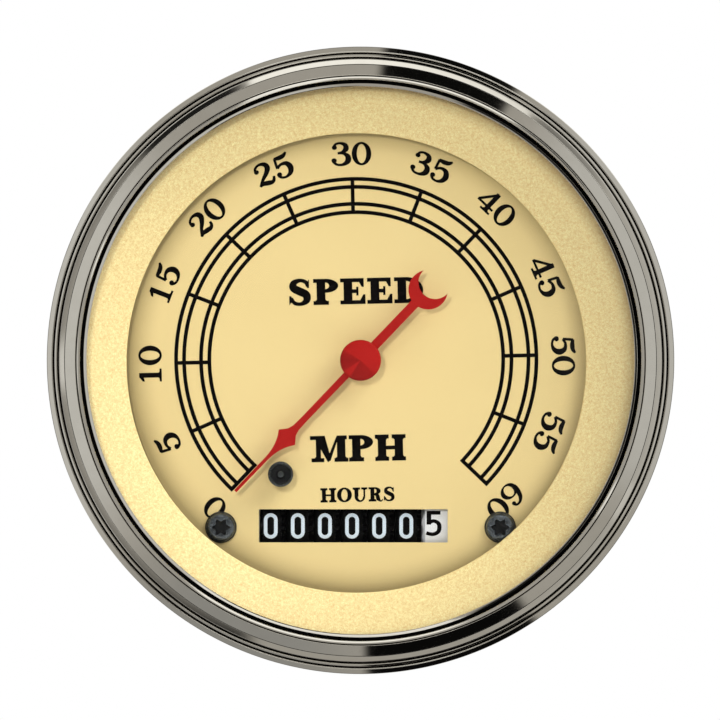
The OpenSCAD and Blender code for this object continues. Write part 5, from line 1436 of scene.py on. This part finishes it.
# %% Floor and world
FLOOR_Z = -0.085
floor_corners = [(x, y, FLOOR_Z) for x, y in ((-1.0, -0.9), (1.0, -0.9), (1.0, 0.8), (-1.0, 0.8))]
floor_mesh = bpy.data.meshes.new("floor")
floor_mesh.from_pydata(floor_corners, [], [(0, 1, 2, 3)])
floor = add_object("floor", floor_mesh)
floor_pale = finish("floor_pale", (240, 240, 238), (246, 246, 244), (0.7, 0.8), grain=40, patch=5, amount=0.3)
tree = floor_pale.node_tree
below = add_node(tree, "ShaderNodeNewGeometry").outputs["Backfacing"]
clear = add_node(tree, "ShaderNodeBsdfTransparent").outputs[0]
paint = tree.nodes["Principled BSDF"].outputs[0]
one_sided = add_node(tree, "ShaderNodeMixShader", {0: below, 1: paint, 2: clear})
tree.links.new(one_sided.outputs[0], tree.nodes["Material Output"].inputs["Surface"])
floor_mesh.materials.append(floor_pale)
floor.visible_glossy = False
world = bpy.data.worlds.new("studio")
bpy.context.scene.world = world
world.use_nodes = True
tree = world.node_tree
tree.nodes.clear()
asking = add_node(tree, "ShaderNodeLightPath").outputs
mirrored = maths(tree, "MAXIMUM", asking["Is Glossy Ray"], asking["Is Transmission Ray"])
seen = maths(tree, "MAXIMUM", asking["Is Camera Ray"], mirrored)
fill = add_node(tree, "ShaderNodeBackground", {"Color": (1.0, 0.98, 0.95, 1), "Strength": 0.22})
white = add_node(tree, "ShaderNodeBackground", {"Color": (1, 1, 1, 1), "Strength": 1.0})
choice = add_node(tree, "ShaderNodeMixShader", {0: seen, 1: fill.outputs[0], 2: white.outputs[0]})
sky = tree.nodes.new("ShaderNodeOutputWorld")
tree.links.new(choice.outputs[0], sky.inputs["Surface"])
bpy.context.scene.view_settings.view_transform = "Standard"
print("floor at z in mm:", FLOOR_Z / MM)

# %% [markdown]
# Chrome is photographed in a tent: grey cloth all round, with a white panel above and black flags at
# the right, which give the bezel its bands. The tent here is a sphere that only polished surfaces see.
# Its tone depends on two angles: round the lens axis, and away from it. The whole tent is turned by a few
# degrees, as the photographer's was.

# %% Light tent for the plating
TENT_RADIUS, TENT_TURN, DEGREES = 0.42, math.radians(-3.5), 180 / math.pi
tent_mesh = bpy.data.meshes.new("tent")
work = bmesh.new()
bmesh.ops.create_uvsphere(work, u_segments=96, v_segments=48, radius=TENT_RADIUS)
work.to_mesh(tent_mesh)
work.free()
tent = add_object("tent", tent_mesh)
tent.rotation_euler.z = TENT_TURN
for kind in ("camera", "diffuse", "volume_scatter", "shadow"):
    setattr(tent, f"visible_{kind}", False)
cloth = bpy.data.materials.new("tent_cloth")
cloth.use_nodes = True
tree = cloth.node_tree
tree.nodes.clear()
aim_at = add_node(tree, "ShaderNodeVectorMath", {0: object_place(tree)}, operation="NORMALIZE")
x, y, z = axes_of(tree, aim_at.outputs[0])
around = maths(tree, "MULTIPLY", maths(tree, "ARCTAN2", z, x), DEGREES)
around = maths(tree, "FLOORED_MODULO", around, 360.0)
from_axis = maths(tree, "ARCCOSINE", maths(tree, "MULTIPLY", y, -1.0))
away = maths(tree, "MULTIPLY", from_axis, DEGREES)
print("tent radius in mm:", TENT_RADIUS / MM)

# %% [markdown]
# The cloths lie over each other: first hoops right round the lens axis, then panels that cover only a part
# of the way. Each is a mask between two angles with a soft edge, and later ones cover earlier ones.

# %% Cloths of the tent
def within(value, low, high, soft):
    """1 between two angles, falling to 0 over a soft edge."""
    rise = map_range(tree, value, low - soft, low + soft, interpolation_type="SMOOTHSTEP")
    fall = map_range(tree, value, high - soft, high + soft, 1.0, 0.0, interpolation_type="SMOOTHSTEP")
    return maths(tree, "MULTIPLY", rise, fall)


HOOPS = [  # colour, away from the axis from and to, softness
    ((0.01, 0.01, 0.01, 1), -30, 10, 2), ((0.05, 0.05, 0.048, 1), 88, 122, 8),
    ((0.62, 0.61, 0.58, 1), 128, 200, 6), ((0.24, 0.24, 0.23, 1), 168, 220, 9)]
CLOTHS = [  # round the axis from and to, away from it from and to, softness, tone
    (30, 66, 84, 150, 8.0, 1.1), (114, 150, 84, 150, 8.0, 1.1), (200, 222, 84, 150, 6.0, 0.7),
    (52.5, 108.5, 26, 46, 0.8, 1.3), (34, 51, 30, 46, 3.0, 0.02), (110, 134, 30, 46, 3.0, 0.02),
    (280, 372, 47, 59, 4.0, 0.72), (-12, 56, 47, 59, 4.0, 0.72), (112, 252, 41, 52, 3.0, 0.012),
    (51, 107, 47, 55, 0.8, 1.2), (138, 212, 56, 80, 14.0, 0.72), (228, 268, 56, 80, 12.0, 0.36),
    (58.7, 84.4, 57, 96, 1.2, 0.004), (272.5, 305, 57, 96, 1.2, 0.004),
    (88, 106, 11, 27, 2.0, 1.2), (150, 160, 11, 24, 1.5, 1.2), (241, 299, 11, 27, 1.5, 1.3),
    (176, 186, 26, 41, 3.0, 0.9), (330, 337, 26, 46, 1.5, 1.1),
    (-20, 48, 60, 80, 10.0, 0.66), (336, 380, 60, 80, 10.0, 0.66)]
colour = (0.47, 0.455, 0.425, 1)
for hoop, near, far, soft in HOOPS:
    colour = mix_colours(tree, within(away, near, far, soft), colour, hoop)
for low, high, near, far, soft, tone in CLOTHS:
    mask = maths(tree, "MULTIPLY", within(around, low, high, soft), within(away, near, far, 2.0))
    colour = mix_colours(tree, mask, colour, (tone, tone, tone * 0.98, 1))
glow = add_node(tree, "ShaderNodeEmission", {"Color": colour, "Strength": 1.0})
out = tree.nodes.new("ShaderNodeOutputMaterial")
tree.links.new(glow.outputs[0], out.inputs["Surface"])
tent_mesh.materials.append(cloth)
print("hoops:", len(HOOPS), "panels:", len(CLOTHS))

# %% [markdown]
# A small lamp near the camera, up and to the left, gives the pointer its soft shadow to the lower right.
# A very large one at the right shades the sloped ring from left to right without a visible shadow of
# its own. A third lights the back of the case. The last one skims across the face from the upper right
# and, by light linking, reaches only the sloped ring, whose lower left it makes the brightest part.

# %% Lamps
def lamp(name, place, size, watts):
    """A round lamp that looks at the middle of the object and isn't seen itself."""
    data = bpy.data.lights.new(name, "AREA")
    data.shape = "DISK"
    data.size = size
    data.energy = watts
    data.color = (1.0, 0.985, 0.96)
    made = add_object(name, data)
    made.location = place
    made.rotation_euler = (-Vector(place)).to_track_quat("-Z", "Y").to_euler()
    for kind in ("camera", "glossy", "transmission"):
        setattr(made, f"visible_{kind}", False)
    return made


lamp("key_lamp", (-0.19, -1.05, 0.2), 0.12, 4.15)
lamp("side_lamp", (0.8, -0.62, 0.9), 1.1, 14.0)
lamp("rear_lamp", (-0.7, 1.0, 0.8), 0.8, 14.0)
ring_lamp = lamp("ring_lamp", (0.85, -0.26, 0.95), 0.5, 9.0)
ring_only = bpy.data.collections.new("ring_only")
ring_only.objects.link(trim)
ring_lamp.light_linking.receiver_collection = ring_only
print("lamps: 4")
